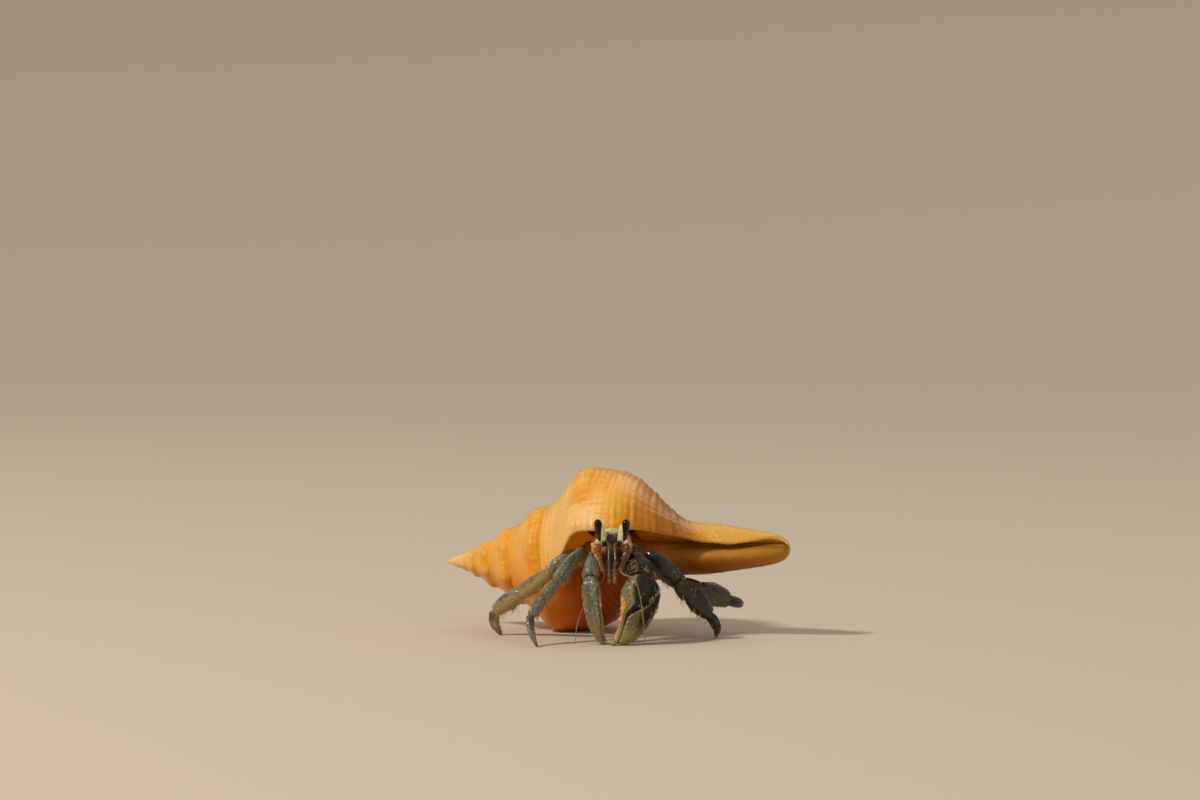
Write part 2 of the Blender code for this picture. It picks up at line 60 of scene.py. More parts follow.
# Radius of the last whorl against the distance from the apex.
WHORL_OUTLINE = [
    (13.3, 5.5), (14.4, 6.7), (15.6, 7.75), (16.9, 8.95), (18.1, 10.1), (19.8, 11.4), (21.3, 11.75),
    (23.3, 11.45), (25.8, 10.4), (27.2, 9.2), (29.2, 7.0), (30.6, 5.4), (32.0, 3.8), (33.8, 1.9),
    (35.6, 0.5), (37.0, 0.0),
]
SUTURE_FILL = 0.5
KNOBS_PER_TURN, KNOB_ANGLE, KNOB_HEIGHT = 8, 20.0, 0.42
CANAL_RADIUS, CANAL_BEND = 2.95, 1.6
CANAL_SLOT_END, CANAL_SLOT_FLOOR = 113.0, 0.42  # its far side in degrees, and its depth as a share
CREST_X, CREST_WIDTH = 20.0, 2.4  # place and half breadth of the row of knobs
UNDERSIDE_ANGLE, UNDERSIDE_SWELL = 165.0, 1.1  # where the last whorl bulges below, and by how much
LIP_THICKNESS, WALL_THICKNESS = 0.5, 1.0
HOLLOW_SHARE = 17 / 32  # how far back from the lip the aperture is hollow, in turns
# Of the fine spiral ridges, the growth lines, the slow unevenness and the nodules, on the last whorl.
CORD_PITCH, CORD_HEIGHT, LINE_HEIGHT, SWELL_HEIGHT, NODULE_HEIGHT = 0.72, 0.055, 0.04, 0.10, 0.16


def smooth_step(value):
    """0 below 0, 1 above 1 and a smooth S between: 3 v squared minus 2 v cubed."""
    value = np.clip(value, 0.0, 1.0)
    return value * value * (3.0 - 2.0 * value)


def bell(value):
    """A bump of height 1 at 0: e to the power of minus value squared."""
    return np.exp(-(value * value))


def height_on(points, x):
    """Height at x of the smooth curve through (x, height) points, a cubic between neighbours."""
    known, height = np.array(points, float).T
    slope = np.gradient(height, known)
    i = np.clip(np.searchsorted(known, x) - 1, 0, len(known) - 2)
    span = known[i + 1] - known[i]
    t = np.clip((x - known[i]) / span, 0.0, 1.0)
    start = (2 * t**3 - 3 * t**2 + 1) * height[i] + (t**3 - 2 * t**2 + t) * span * slope[i]
    end = (3 * t**2 - 2 * t**3) * height[i + 1] + (t**3 - t**2) * span * slope[i + 1]
    return start + end


def wobble(seed, *coordinates):
    """Smooth unevenness between about -1 and 1: a sum of eight sine waves of seeded direction and phase."""
    random = np.random.default_rng(seed)
    total = 0.0
    for _ in range(8):
        turn = random.normal(size=len(coordinates))
        total = total + np.sin(sum(k * c for k, c in zip(turn, coordinates)) + random.uniform(0, 6.28))
    return total / 4.0


def lip_angle(along):
    """Degrees from straight up of the lip's edge: forward at the suture, and back up at the canal's tip."""
    at_suture = (SUTURE_END_ANGLE - LIP_ANGLE) * (1.0 - smooth_step((along - 14.0) / 6.5))
    at_tip = 70.0 * np.clip((along - 34.0) / 6.8, 0.0, 1.0) ** 2.2
    return LIP_ANGLE + at_suture - at_tip


def growth_line(along, turn_back):
    """Degrees from straight up of a growth line: the last follow the lip, the rest lie along the axis."""
    follow = 1.0 - smooth_step(turn_back / 160.0)
    return SUTURE_END_ANGLE - turn_back + follow * (lip_angle(along) - SUTURE_END_ANGLE)


def shell_place(along, radius, angle):
    """Point at a distance along the shell's axis, a radius, and degrees from straight up to the front."""
    level = np.array([math.cos(AXIS_YAW), -math.sin(AXIS_YAW), 0.0])
    axis = math.cos(AXIS_TILT) * level + np.array([0.0, 0.0, math.sin(AXIS_TILT)])
    up = np.array([0.0, 0.0, 1.0]) - axis[2] * axis
    up /= np.linalg.norm(up)
    turn = np.radians(angle)
    side = np.cos(turn)[..., None] * up + np.sin(turn)[..., None] * np.cross(axis, up)
    bend = CANAL_BEND * smooth_step((along - 19.5) / 10.5)
    return APEX + along[..., None] * axis + bend[..., None] * up + radius[..., None] * side


def glazed(along, back):
    """1 where the smooth glaze lies over the whorl before the last, from the mouth to the underside."""
    past = SUTURE_END_ANGLE - back + 360.0
    below = 1.0 - smooth_step((past - 165.0) / 35.0)
    return below * smooth_step((along - 13.5) / 3.0) * (back > MOUTH_BACK)


def shell_radius(along, back, relief):
    """Radius of the whorl laid down some degrees before the suture's end. The whorl's outline shrinks by a
    fixed factor each turn back; its fourth-power sum with the canal's joins the two. relief scales the
    surface detail."""
    x = along * LENGTH_GROWTH ** (back / 360.0)
    scale = WIDTH_GROWTH ** (-back / 360.0)
    whorl = scale * height_on(WHORL_OUTLINE, x)
    # Each whorl starts out of the one before it in a soft hollow, not in a step.
    whorl += scale * SUTURE_FILL * (1.0 - smooth_step((x - SUTURE_X) / 2.6))
    knob = np.cos(np.radians(SUTURE_END_ANGLE - back - KNOB_ANGLE) * KNOBS_PER_TURN)
    knob = knob + 0.35 * np.maximum(knob, 0.0) ** 3
    whorl += scale * KNOB_HEIGHT * bell((x - CREST_X) / CREST_WIDTH) * knob
    whorl *= 1.0 + 0.05 * smooth_step((300.0 - back) / 200.0) * smooth_step((x - SUTURE_X) / 4.0)
    under = np.maximum(np.cos(np.radians(SUTURE_END_ANGLE - back - UNDERSIDE_ANGLE)), 0.0)
    whorl += UNDERSIDE_SWELL * under * bell((along - 22.5) / 3.6) * (whorl > 0.5)
    tip = np.sqrt(np.clip(1.0 - (np.minimum(along, SHELL_LENGTH) / SHELL_LENGTH) ** 40, 0.0, 1.0))
    canal = CANAL_RADIUS * (1.0 - 0.42 * smooth_step((along - 29.5) / 12.5)) * tip
    canal *= smooth_step((along - 12.0) / 9.0)
    lip = lip_angle(along)
    past_lip = (SUTURE_END_ANGLE - back + 360.0 - lip) / (CANAL_SLOT_END - lip)
    slot = smooth_step((along - 23.0) / 6.0) * (1.0 - smooth_step(past_lip)) * (back > MOUTH_BACK)
    canal *= 1.0 - (1.0 - CANAL_SLOT_FLOOR) * slot
    plain = (np.maximum(whorl, 0.0) ** 4 + canal**4) ** 0.25
    # Spiral cords, every third one stronger, with growth lines across them and a slow unevenness.
    phase = x / CORD_PITCH + 0.25 * wobble(3, x / 4.0, back / 90.0)
    ridge = bell((np.mod(phase, 1.0) - 0.5) / 0.24) + 0.8 * bell((np.mod(phase / 3.0, 1.0) - 0.5) / 0.1)
    beads = 1.0 + 0.45 * np.sin(back * 1.9 + 3.0 * wobble(5, x / 3.0, back / 40.0))
    rests = bell(np.mod(back + 14 * wobble(9, back / 70.0), 45.0) / 3.0)
    lines = 0.35 * wobble(7, back / 2.2, x / 9.0) + 0.5 * rests
    swell = SWELL_HEIGHT * wobble(11, x / 2.6, back / 26.0)
    detail = CORD_HEIGHT * (ridge * beads - 0.5) + LINE_HEIGHT * lines + swell
    fade = smooth_step((SHELL_LENGTH - along) / 1.2) * smooth_step((along - 0.25) / 1.5)
    strong = 0.55 + 0.45 * smooth_step((x - 23.0) / 4.0) + 1.2 * bell((x - 27.5) / 4.0)
    # The glaze laid over the front of the whorl under the mouth hides them.
    glaze = glazed(along, back)
    detail = detail * (1.0 - 0.85 * glaze) * strong
    # Small blunt nodules crowd on the crest of the shoulder.
    crest = bell((x - 20.6 - 0.5 * wobble(15, back / 30.0)) / 1.1) + 0.7 * bell((x - 23.2) / 0.5)
    nodules = np.maximum(np.sin(back * 0.9 + 2.0 * wobble(16, back / 18.0, x / 2.0)), 0.0) ** 1.5
    detail = detail + NODULE_HEIGHT * crest * nodules * (1.0 - glaze)
    return plain + relief * np.minimum(scale * 1.15, plain * 0.3) * detail * fade


def crowded(count, much):
    """Numbers from 0 to 1 that crowd together at both ends: an even share, less much times a sine of it."""
    share = np.linspace(0, 1, count)
    return share - much * np.sin(2 * math.pi * share) / (2 * math.pi)


def rounded(share):
    """The height of a quarter circle: 0 at 0, and level with its top, 1, from 1 on."""
    return np.sqrt(1.0 - (1.0 - np.clip(share, 0.0, 1.0)) ** 2)


def cells(number):
    """Four-cornered faces between the neighbours of a grid, or of each of many grids, of point numbers."""
    four = [number[..., :-1, :-1], number[..., :-1, 1:], number[..., 1:, 1:], number[..., 1:, :-1]]
    return np.stack(four, axis=-1).reshape(-1, 4)


def shell_surface():
    """Points, faces and marks of the whole shell. The spire is a helical strip sewn to itself along the
    suture: a row's first point is the strip's last point one turn before. The last whorl runs on to the
    canal's tip, and from the lip back the inside of its wall faces the whorl before it, which is the
    aperture's floor."""
    n = STEPS_PER_TURN
    last = TURNS * n
    hollow = int(HOLLOW_SHARE * n)
    deep = last - n - hollow
    strip, rest = 60, 128
    width = strip + 1 + rest
    turn_back = (last - np.arange(last + 1))[:, None] * 360.0 / n
    # The strip starts as nothing at the apex and has its full breadth one turn later.
    bud = smooth_step(np.arange(last + 1) / n)[:, None]
    finish = bud * LENGTH_GROWTH ** (1.0 - turn_back / 360.0) * SUTURE_X
    begin = np.concatenate([np.zeros((n, 1)), finish[:-n]])
    along = np.zeros((last + 1, width))
    along[:, : strip + 1] = begin + (finish - begin) * np.linspace(0, 1, strip + 1)
    start = along[:, strip : strip + 1]
    onward = 1.0 - np.linspace(1, 0, rest + 1)[1:] ** 1.25
    along[:, strip + 1 :] = start + (SHELL_LENGTH - start) * onward
    angle = growth_line(along, turn_back + 0.0 * along)
    grown = SUTURE_END_ANGLE - angle
    # Towards its tip the spire becomes a smooth cone that ends in a dome.
    cone = (0.08 + 0.42 * along) * rounded(along / APEX_DOME)
    from_cone = smooth_step((along - 1.2) / 2.4)
    radius = cone + from_cone * (shell_radius(along, grown, 1.0) - cone)
    outer = shell_place(along, radius, angle)

    rows = np.arange(last - hollow, last + 1)
    floor_start = along[rows - n, strip + 1][:, None]
    share = (along[rows] - along[rows, :1]) / (SHELL_LENGTH - along[rows, :1])
    in_along = floor_start + (SHELL_LENGTH - floor_start) * share
    in_back = turn_back[rows] + 0.0 * in_along
    in_angle = growth_line(in_along, in_back)
    in_grown = SUTURE_END_ANGLE - in_angle
    ceiling = shell_radius(in_along, in_grown, 0.0)
    floor = shell_radius(in_along, in_grown + 360.0, 0.0)
    depth = in_back / (190.0 - 170.0 * smooth_step((in_along - 19.5) / 5.5))
    open_share = 1.0 - 0.97 * smooth_step((depth - 0.55) / 0.45)
    wall = LIP_THICKNESS + (WALL_THICKNESS - LIP_THICKNESS) * smooth_step(in_back / 50.0)
    wall = np.minimum(wall, 0.45 * np.maximum(ceiling, 0.05))
    wall = wall * (1.0 + 0.10 * wobble(13, in_along * 2.2, in_back / 30.0))
    inner = shell_place(in_along, floor + np.maximum(ceiling - wall - floor, 0.04) * open_share, in_angle)

    # Every place gets a number, and places that are one and the same share it.
    number = np.arange(outer[..., 0].size).reshape(outer.shape[:2])
    number[0] = number[0, 0]
    number[:, -1] = number[last, -1]
    number[n:, 0] = number[:-n, strip]
    inside = number.size + np.arange(inner[..., 0].size).reshape(inner.shape[:2])
    inside[:, 0] = number[rows - n, strip + 1]
    inside[:, -1] = number[last, -1]
    # The lip's rounded edge, in rows from its outer to its inner side.
    round_off = np.linspace(0, 1, 5)[1:-1, None]
    edge_out, edge_in = outer[last][None], inner[-1][None]
    # The crenulated edge stands forward where a spiral cord runs out.
    x_edge = along[last]
    ahead = shell_place(x_edge, radius[last], angle[last] + 1.0) - outer[last]
    ahead /= np.linalg.norm(ahead, axis=1, keepdims=True) + 1e-9
    ragged = 0.16 + 0.03 * np.sin(2 * math.pi * x_edge / CORD_PITCH) + 0.04 * wobble(17, x_edge * 2.0)
    bulge = ragged[None, :] * np.sin(math.pi * round_off)
    edge = edge_out + (edge_in - edge_out) * round_off[..., None] + bulge[..., None] * ahead[None]
    edge_number = inside.max() + 1 + np.arange(edge[..., 0].size).reshape(edge.shape[:2])
    edge_number[:, 0] = inside[-1, 0]
    edge_number[:, -1] = number[last, -1]
    edge_rows = np.concatenate([number[last][None], edge_number, inside[-1][None]])

    floor_columns = np.round(np.linspace(strip + 1, width - 1, width)).astype(int)
    faces = np.concatenate([
        cells(number[:, : strip + 1]),
        cells(number[deep : last - n + 1, strip + 1 :]),
        cells(number[last - n :, strip:]),
        cells(inside)[:, ::-1],
        cells(edge_rows),
        cells(np.stack([inside[0], number[deep, floor_columns]])),
    ])
    points = np.concatenate([outer.reshape(-1, 3), inner.reshape(-1, 3), edge.reshape(-1, 3)])
    x_out = along * LENGTH_GROWTH ** (grown / 360.0)
    plain = cone + from_cone * (shell_radius(along, grown, 0.0) - cone)
    relief = 0.5 + 4.0 * (radius - plain) * WIDTH_GROWTH ** (grown / 360.0)
    # The floor of the mouth, the glaze below it and the canal's slot.
    mouth = glazed(along, grown) * (turn_back > MOUTH_BACK)

    def everywhere(*on):
        shapes = (along.shape, in_along.shape, edge.shape[:2])
        return np.concatenate([np.broadcast_to(v, shape).ravel() for v, shape in zip(on, shapes)])

    marks = {
        "whorl_x": everywhere(x_out, in_along, x_edge),
        "grown": everywhere(grown, in_grown, grown[last]),
        "lining": everywhere(0.0, 1.0, smooth_step(round_off)),
        "far": everywhere(along, in_along, x_edge),
        "depth": everywhere(0.0, in_back, 0.0),
        "mouth": everywhere(mouth, 0.0, 0.0),
        "relief": everywhere(relief, 0.5, 0.8),
    }
    return points, faces, marks


def linear(display):
    """A display colour, 0 to 255 a channel, as the linear light that a shader takes."""
    share = np.array(display) / 255.0
    light = np.where(share <= 0.04045, share / 12.92, ((share + 0.055) / 1.055) ** 2.4)
    return (*light.tolist(), 1.0)


class Wire:
    """A value on its way through a material's nodes. + - * and / on it add Math nodes."""

    def __init__(self, paint, socket):
        self.paint, self.socket = paint, socket

    def maths(self, operation, first, second):
        return self.paint.node("Math", {"operation": operation}, {0: first, 1: second})

    def __add__(self, other):
        return self.maths("ADD", self, other)

    def __sub__(self, other):
        return self.maths("SUBTRACT", self, other)

    def __rsub__(self, other):
        return self.maths("SUBTRACT", other, self)

    def __mul__(self, other):
        return self.maths("MULTIPLY", self, other)

    def __truediv__(self, other):
        return self.maths("DIVIDE", self, other)

    __radd__, __rmul__ = __add__, __mul__

    def step(self, low, high):
        """0 up to low and 1 from high on, with a smooth S between."""
        inputs = {"Value": self, "From Min": low, "From Max": high}
        return self.paint.node("MapRange", {"interpolation_type": "SMOOTHSTEP"}, inputs)

    def band(self, middle, half):
        """1 at middle, falling smoothly to 0 at half a width to either side."""
        return self.step(middle - half, middle) * (1.0 - self.step(middle, middle + half))


class Paint:
    """A material as it is mixed from nodes. A colour is a wire, or its red, green and blue from 0 to 255."""

    def __init__(self, name):
        self.material = bpy.data.materials.new(name)
        self.material.use_nodes = True
        self.tree = self.material.node_tree
        self.shader = self.tree.nodes["Principled BSDF"]

    def feed(self, node, sockets):
        """Links the wires to a node's sockets, and sets the plain numbers and colours on them."""
        for key, value in sockets.items():
            if isinstance(value, Wire):
                self.tree.links.new(value.socket, node.inputs[key])
            else:
                node.inputs[key].default_value = linear(value) if isinstance(value, tuple) else value

    def node(self, kind, settings, sockets, output=0):
        """A node of a kind, with its settings, then the values or links of its sockets."""
        made = self.tree.nodes.new("ShaderNode" + kind)
        for key, value in settings.items():
            setattr(made, key, value)
        self.feed(made, sockets)
        return Wire(self, made.outputs[output])

    def mark(self, name):
        """A number that the mesh carries at each point."""
        return self.node("Attribute", {"attribute_name": name}, {}, "Fac")

    def place(self):
        """The point's place in millimetres."""
        metres = self.node("TexCoord", {}, {}, "Object")
        return self.node("VectorMath", {"operation": "SCALE"}, {0: metres, "Scale": 1.0 / MM})

    def noise(self, where, size, detail=2.0, roughness=0.5):
        """Smooth noise between about 0 and 1 whose features are about that size."""
        inputs = {"Vector": where, "Scale": 1.0 / size, "Detail": detail, "Roughness": roughness}
        return self.node("TexNoise", {}, inputs)

    def mix(self, share, first, second):
        """The first colour where share is 0 and the second where it is 1."""
        return self.node("Mix", {"data_type": "RGBA"}, {0: share, 6: first, 7: second}, 2)

    def coats(self, skin, *coats):
        """Lays coats over a colour, one on another: each is how much it covers, 0 to 1, and its colour."""
        for share, tint in coats:
            skin = self.mix(share, skin, tint)
        return skin

    def bump(self, height, depth):
        """A bump from a height of 0 to 1 that stands for a depth in millimetres."""
        return self.node("Bump", {}, {"Height": height, "Distance": depth * MM, "Strength": 1.0})

    def finish(self, skin, roughness, normal=None, coat=0.0, coat_roughness=0.1, flesh=0.0, specular=0.5):
        """Links the colour, roughness and bump, and sets what is the same all over. flesh is how much of the
        light goes under the surface."""
        self.feed(self.shader, {
            "Base Color": skin, "Roughness": roughness, "Coat Weight": coat, "Coat Roughness": coat_roughness,
            "Subsurface Weight": flesh, "Subsurface Scale": 0.6 * MM, "Specular IOR Level": specular,
        })
        self.shader.inputs["Subsurface Radius"].default_value = (1.0, 0.45, 0.2)
        if normal is not None:
            self.feed(self.shader, {"Normal": normal})
        return self.material


def add_piece(name, slot, nodes, finish, points, faces, marks, patches=None):
    """A smooth-shaded piece that stands for some CAD nodes and takes a finish, from points in
    millimetres and four-cornered faces. A face with a corner named twice is made a triangle, places that no
    face uses are dropped, faces are turned outwards together, and nothing reaches below the floor. The slot
    is not used."""
    points = np.maximum(points, (-np.inf, -np.inf, 0.0))
    same = faces == np.roll(faces, -1, axis=1)
    whole, corner = faces[same.sum(1) == 0], faces[same.sum(1) == 1]
    skip = same[same.sum(1) == 1].argmax(1)
    keep = (skip[:, None] + np.arange(1, 4)) % 4
    corner = np.take_along_axis(corner, keep, axis=1)
    # Twice the signed volume is six times the sum of corner determinants; below zero means inside out.
    triangles = np.concatenate([whole[:, [0, 1, 2]], whole[:, [0, 2, 3]], corner])
    a, b, c = (points[triangles[:, k]] for k in range(3))
    if np.einsum("ij,ij->", a, np.cross(b, c)) < 0.0:
        whole, corner = whole[:, ::-1], corner[:, ::-1]
    used = np.unique(np.concatenate([whole.ravel(), corner.ravel()]))
    renumber = np.zeros(len(points), np.int64)
    renumber[used] = np.arange(len(used))
    mesh = bpy.data.meshes.new(name)
    lists = renumber[whole].tolist() + renumber[corner].tolist()
    mesh.from_pydata((points[used] * MM).tolist(), [], lists)
    for key, values in marks.items():
        attribute = mesh.attributes.new(key, "FLOAT", "POINT")
        attribute.data.foreach_set("value", np.asarray(values, np.float32)[used])
    if patches is not None:
        corner_point = np.empty(len(mesh.loops), np.int32)
        mesh.loops.foreach_get("vertex_index", corner_point)
        layer = mesh.uv_layers.new(name="OFBake")
        layer.data.foreach_set("uv", np.asarray(patches, np.float32)[used][corner_point].ravel())
    mesh.shade_smooth()
    mesh.materials.append(finish)
    piece = bpy.data.objects.new(name, mesh)
    bpy.context.scene.collection.objects.link(piece)
    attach(piece, "root")
    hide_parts(*nodes)


def shell_finish():
    """Orange skin in spiral bands, paler towards the lip, with deep orange in the hollows between the knobs,
    worn pale knobs and cords, and a smooth lining that goes from cream at the lip to red-brown inside; its
    darkening inwards is painted shade. Painted shade also deepens the underside, the low parts between the
    cords, the glaze below the mouth and the canal's lower bands. The canal's middle bands and a patch by the
    lip are painted light, and the lining near the lip has a painted glow."""
    paint = Paint("shell_orange")
    names = ("whorl_x", "grown", "lining", "mouth", "relief", "far", "depth")
    x, grown, lining, mouth, relief, far, depth = map(paint.mark, names)
    where = paint.place()
    height = paint.node("SeparateXYZ", {}, {"Vector": where}, 2)

    def streaks(across, along, roughness=0.6):
        """Noise stretched to these sizes across the whorl, in millimetres, and along it, in degrees."""
        spread = paint.node("CombineXYZ", {}, {"X": across, "Y": along})
        return paint.noise(spread, 1.0, 3.0, roughness)

    # Streaks: along the whorl's spiral, and along its growth lines.
    spiral = streaks(x * 2.6, grown / 55.0)
    growth = streaks(x / 5.0, grown / 2.6)
    clouds = streaks(x / 3.2, grown / 24.0, 0.55)
    fine = paint.noise(where, 0.16, 3.0, 0.6)

    # The pale band below the shoulder, broken by streaks, and strongest on the last part that grew.
    pale = x.band(17.4, 4.4) * 0.62 + x.band(19.0, 7.5) * (1.0 - grown.step(42.0, 88.0))
    pale = pale * (0.55 + 0.45 * spiral.step(0.3, 0.6)) * (0.7 + 0.3 * growth.step(0.3, 0.6))
    # A pale patch by the lip is a painted highlight.
    lip_highlight = x.band(22.4, 2.6) * (1.0 - grown.step(40.0, 78.0)) * growth.step(0.3, 0.55)
    # Hollows between the knobs keep their colour, and the knobs are worn.
    turn = (SUTURE_END_ANGLE - KNOB_ANGLE - grown) * math.radians(KNOBS_PER_TURN)
    knob = paint.node("Math", {"operation": "COSINE"}, {0: turn})
    hollow = x.band(20.6, 2.8) * (0.0 - knob).step(0.1, 0.9) * clouds.step(0.34, 0.52)
    ends = x.band(27.0, 3.4) * spiral.step(0.42, 0.6) * (0.4 + 0.6 * clouds.step(0.38, 0.58))
    worn = x.band(20.4, 2.6) * (0.35 + 0.65 * knob.step(0.2, 1.0)) * fine.step(0.42, 0.6)
    worn = worn * clouds.step(0.36, 0.56)
    # A purplish crust clings to the cords along the top of the whorl's slope to the canal.
    crust = grown.band(118.0, 42.0) * x.step(24.0, 27.0) * (1.0 - x.step(33.0, 36.5))
    crust = crust * relief.step(0.35, 0.9) * clouds.step(0.3, 0.5)
    # The low parts between the cords are painted a deeper orange, as painted shade.
    groove_shade = (1.0 - relief.step(0.15, 0.5)) * (0.1 + 0.3 * clouds.step(0.4, 0.6))
    # The spire's tip is bleached, and the whole underside is painted deeper orange as painted shade.
    under = 1.0 - (height + 2.0 * (clouds - 0.5)).step(3.5, 8.2)
    orange, brown = (232, 146, 4), (168, 98, 24)
    skin = paint.coats(
        orange,
        (spiral.step(0.38, 0.62), (234, 172, 44)),
        ((clouds + 0.35 * (spiral - 0.5)).step(0.5, 0.68) * 0.7, (234, 146, 4)),
        (pale.step(0.0, 1.0), (241, 190, 110)),
        # painted highlight by the lip
        (lip_highlight * 0.7, (250, 214, 160)),
        (hollow * 0.9, (232, 146, 6)),
        (ends * 0.75, (196, 114, 8)),
        (worn * 0.35, (186, 150, 116)),
        (crust * 0.85, (138, 102, 92)),
        (relief.step(0.5, 1.0) * (0.15 + 0.25 * growth), (248, 214, 120)),
        # painted shade in the low parts
        (groove_shade, (216, 122, 0)),
        (x.step(31.0, 35.0) * 0.65, (218, 172, 84)),
        (x.band(30.4, 4.8) * (0.55 + 0.3 * spiral.step(0.35, 0.6)), (138, 82, 8)),
        ((1.0 - far.step(0.6, 5.0)) * 0.75, (244, 212, 152)),
        # painted shade on the underside
        (under * 0.75, (224, 122, 0)),
        (fine.step(0.62, 0.75) * 0.22, brown),
    )

    # The lining darkens inwards with depth to red-brown, as painted shade in the aperture.
    inner = paint.coats(
        (238, 206, 120),
        (depth.step(2.0, 14.0), (202, 138, 26)),
        (depth.step(12.0, 50.0), (184, 104, 14)),
        (depth.step(45.0, 100.0), (78, 28, 4)),
    )
    # Along the canal the glaze is painted in bands by height that stand for light and shade: deep orange low
    # down as painted shade, pinkish tan and gold above it as its painted lit part, and olive under the lip as
    # the lip's painted shadow. From about 26.5 mm along, where the key light falls, it is painted darker.
    canal = paint.coats(
        (186, 84, 0),
        (height.step(7.8, 8.8), (230, 132, 14)),
        (height.step(8.8, 9.6), (238, 172, 112)),
        (height.step(9.4, 9.9), (232, 164, 40)),
        (far.step(33.0, 38.0) * height.step(8.4, 9.4), (228, 160, 44)),
        (height.step(9.8, 10.3), (150, 108, 8)),
        # painted shade where the key light reaches the canal
        (far.step(26.5, 30.0) * 0.6, (96, 56, 4)),
    )
    # Below the mouth it is deep orange, painted dark red-brown from about 15 mm along as the crab's painted
    # shadow, lighter again higher up, and running on into the canal's painted bands.
    throat = paint.coats(
        (222, 112, 0),
        (far.step(15.0, 19.5), (150, 56, 0)),
        (height.step(6.5, 9.0), (190, 88, 0)),
        (far.step(24.5, 27.5), canal),
        (spiral.step(0.45, 0.65) * 0.15, (232, 150, 60)),
    )
    skin = paint.coats(skin, (mouth * 0.92, throat), (lining, inner))

    dull = 0.2 + 0.16 * growth.step(0.35, 0.7) + 0.12 * fine + 0.1 * worn
    roughness = dull * (1.0 - 0.45 * lining) * (1.0 - 0.35 * mouth)
    smooth = (1.0 - 0.75 * lining) * (1.0 - 0.8 * mouth)
    normal = paint.bump((0.5 * growth + 0.35 * spiral + 0.25 * fine) * smooth, 0.05)
    # Painted glow: emission on the lining near the lip, and on the glaze under the lip, stands in for light
    # that shines through the thin wall.
    through = lining * depth.step(1.0, 6.0) * (1.0 - depth.step(36.0, 80.0))
    through = through * (1.0 - 0.8 * far.step(18.0, 20.5))
    under_lip = mouth * height.step(7.5, 11.0) * (1.0 - 0.85 * far.step(17.5, 20.0))
    under_lip = under_lip * (1.0 - far.step(22.0, 26.0))
    glow = paint.mix((through + under_lip).step(0.0, 1.0), (0, 0, 0), (184, 100, 2))
    paint.feed(paint.shader, {"Emission Color": glow, "Emission Strength": 0.4})
    # The underside, the glaze and the worn slope to the canal have lost their gloss.
    matt = (under + mouth + x.band(29.5, 7.5) * grown.band(118.0, 60.0)).step(0.0, 1.0)
    roughness = roughness + 0.15 * matt * (1.0 - under) * (1.0 - mouth)
    return paint.finish(skin, roughness, normal, 0.5 - 0.42 * matt, 0.06, flesh=0.06, specular=0.2)


add_piece("snail_shell", "snail_shell", ["shell"], shell_finish(), *shell_surface())

# ---------------------------------------------------------------- walking legs
# The second and third pairs of legs: hard tubes of cuticle joined end to end, each narrowing to a neck that
# turns in the rim of the one before it. Grey and granular above, cream at the joints, with a curved horny
# tip.

LEG_PARTS = ("base", "merus", "carpus", "propodus", "dactyl")
BASE_GIRTHS, LEFT_BASE_GIRTHS = (0.55, 0.55, 0.5), (0.55, 0.55, 0.55)
# Half heights of each part at its start, middle and end.
LEG_GIRTHS = {
    "leg2_right": (BASE_GIRTHS, (0.48, 0.78, 0.68), (0.54, 0.7, 0.68), (0.58, 0.72, 0.5), (0.5, 0.42, 0.13)),
    "leg3_right": (BASE_GIRTHS, (0.48, 0.74, 0.68), (0.58, 0.86, 0.84), (0.8, 0.98, 0.6), (0.58, 0.5, 0.14)),
    "leg2_left": (
        LEFT_BASE_GIRTHS, (0.58, 1.02, 0.96), (0.84, 1.05, 1.06), (0.98, 1.17, 0.72), (0.62, 0.5, 0.14)
    ),
    "leg3_left": (
        LEFT_BASE_GIRTHS, (0.58, 0.88, 0.86), (0.82, 1.03, 1.05), (1.05, 1.27, 0.9), (0.78, 0.66, 0.2)
    ),
}
# How far the olive of each leg's underside climbs, and how much painted shade darkens the leg.
LEG_TONES = {
    "leg2_right": (-0.2, 0.0), "leg3_right": (0.55, 0.0), "leg2_left": (0.1, 0.95), "leg3_left": (0.0, 0.75)
}
LEG_FLATNESS = 0.74
LEG_BOW, TIP_BOW = 0.12, 0.42  # how far the long parts and the tips curve upwards
NECK, RIM = 0.42, 0.16  # lengths of a part's narrow start and of its thick far edge
RIDGE = 0.07  # how far the top of a part stands out, as a share
SIDES = 96
GRANULE = 0.16  # from one granule to the next round the limb
GRANULE_LENGTH = 2.7  # from one to the next along the limb, as a multiple of that
GRANULE_HEIGHT, UNEVEN_HEIGHT = 0.05, 0.025
RING_CORNERS = 9  # corners taken as the ring in which a CAD node ends


def unit(vector):
    vector = np.asarray(vector, float)
    return vector / np.linalg.norm(vector, axis=-1, keepdims=True)


def corners(node):
    """The corner points of a CAD node, in millimetres."""
    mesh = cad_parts[node].data
    found = np.empty(len(mesh.vertices) * 3)
    mesh.vertices.foreach_get("co", found)
    return np.unique(np.round(found.reshape(-1, 3) / MM, 4), axis=0)


def meeting(first, second):
    """Middle of the ring of corners that a node turns towards its neighbour."""
    own, other = corners(first), corners(second)
    gap = np.linalg.norm(own[:, None] - other[None], axis=2).min(axis=1)
    return own[np.argsort(gap)[:RING_CORNERS]].mean(axis=0)


def free_end(node, joint):
    """Middle of the ring of corners farthest from a node's joint."""
    own = corners(node)
    return own[np.argsort(-np.linalg.norm(own - joint, axis=1))[:RING_CORNERS]].mean(axis=0)


def path_through(points, count):
    """Places along the smooth curve through a few points, evenly spread between each pair."""
    points = np.array(points, float)
    stations = np.arange(len(points))
    at = np.linspace(0, len(points) - 1, count)
    return np.stack([height_on(np.stack([stations, c], axis=1), at) for c in points.T], axis=1)


def chance(*numbers):
    """A number between 0 and 1 that is always the same for the same whole numbers: the fraction of a big
    sine."""
    total = sum(n * k for n, k in zip(numbers, (127.1, 311.7, 74.7)))
    return np.mod(np.sin(total) * 43758.5453, 1.0)


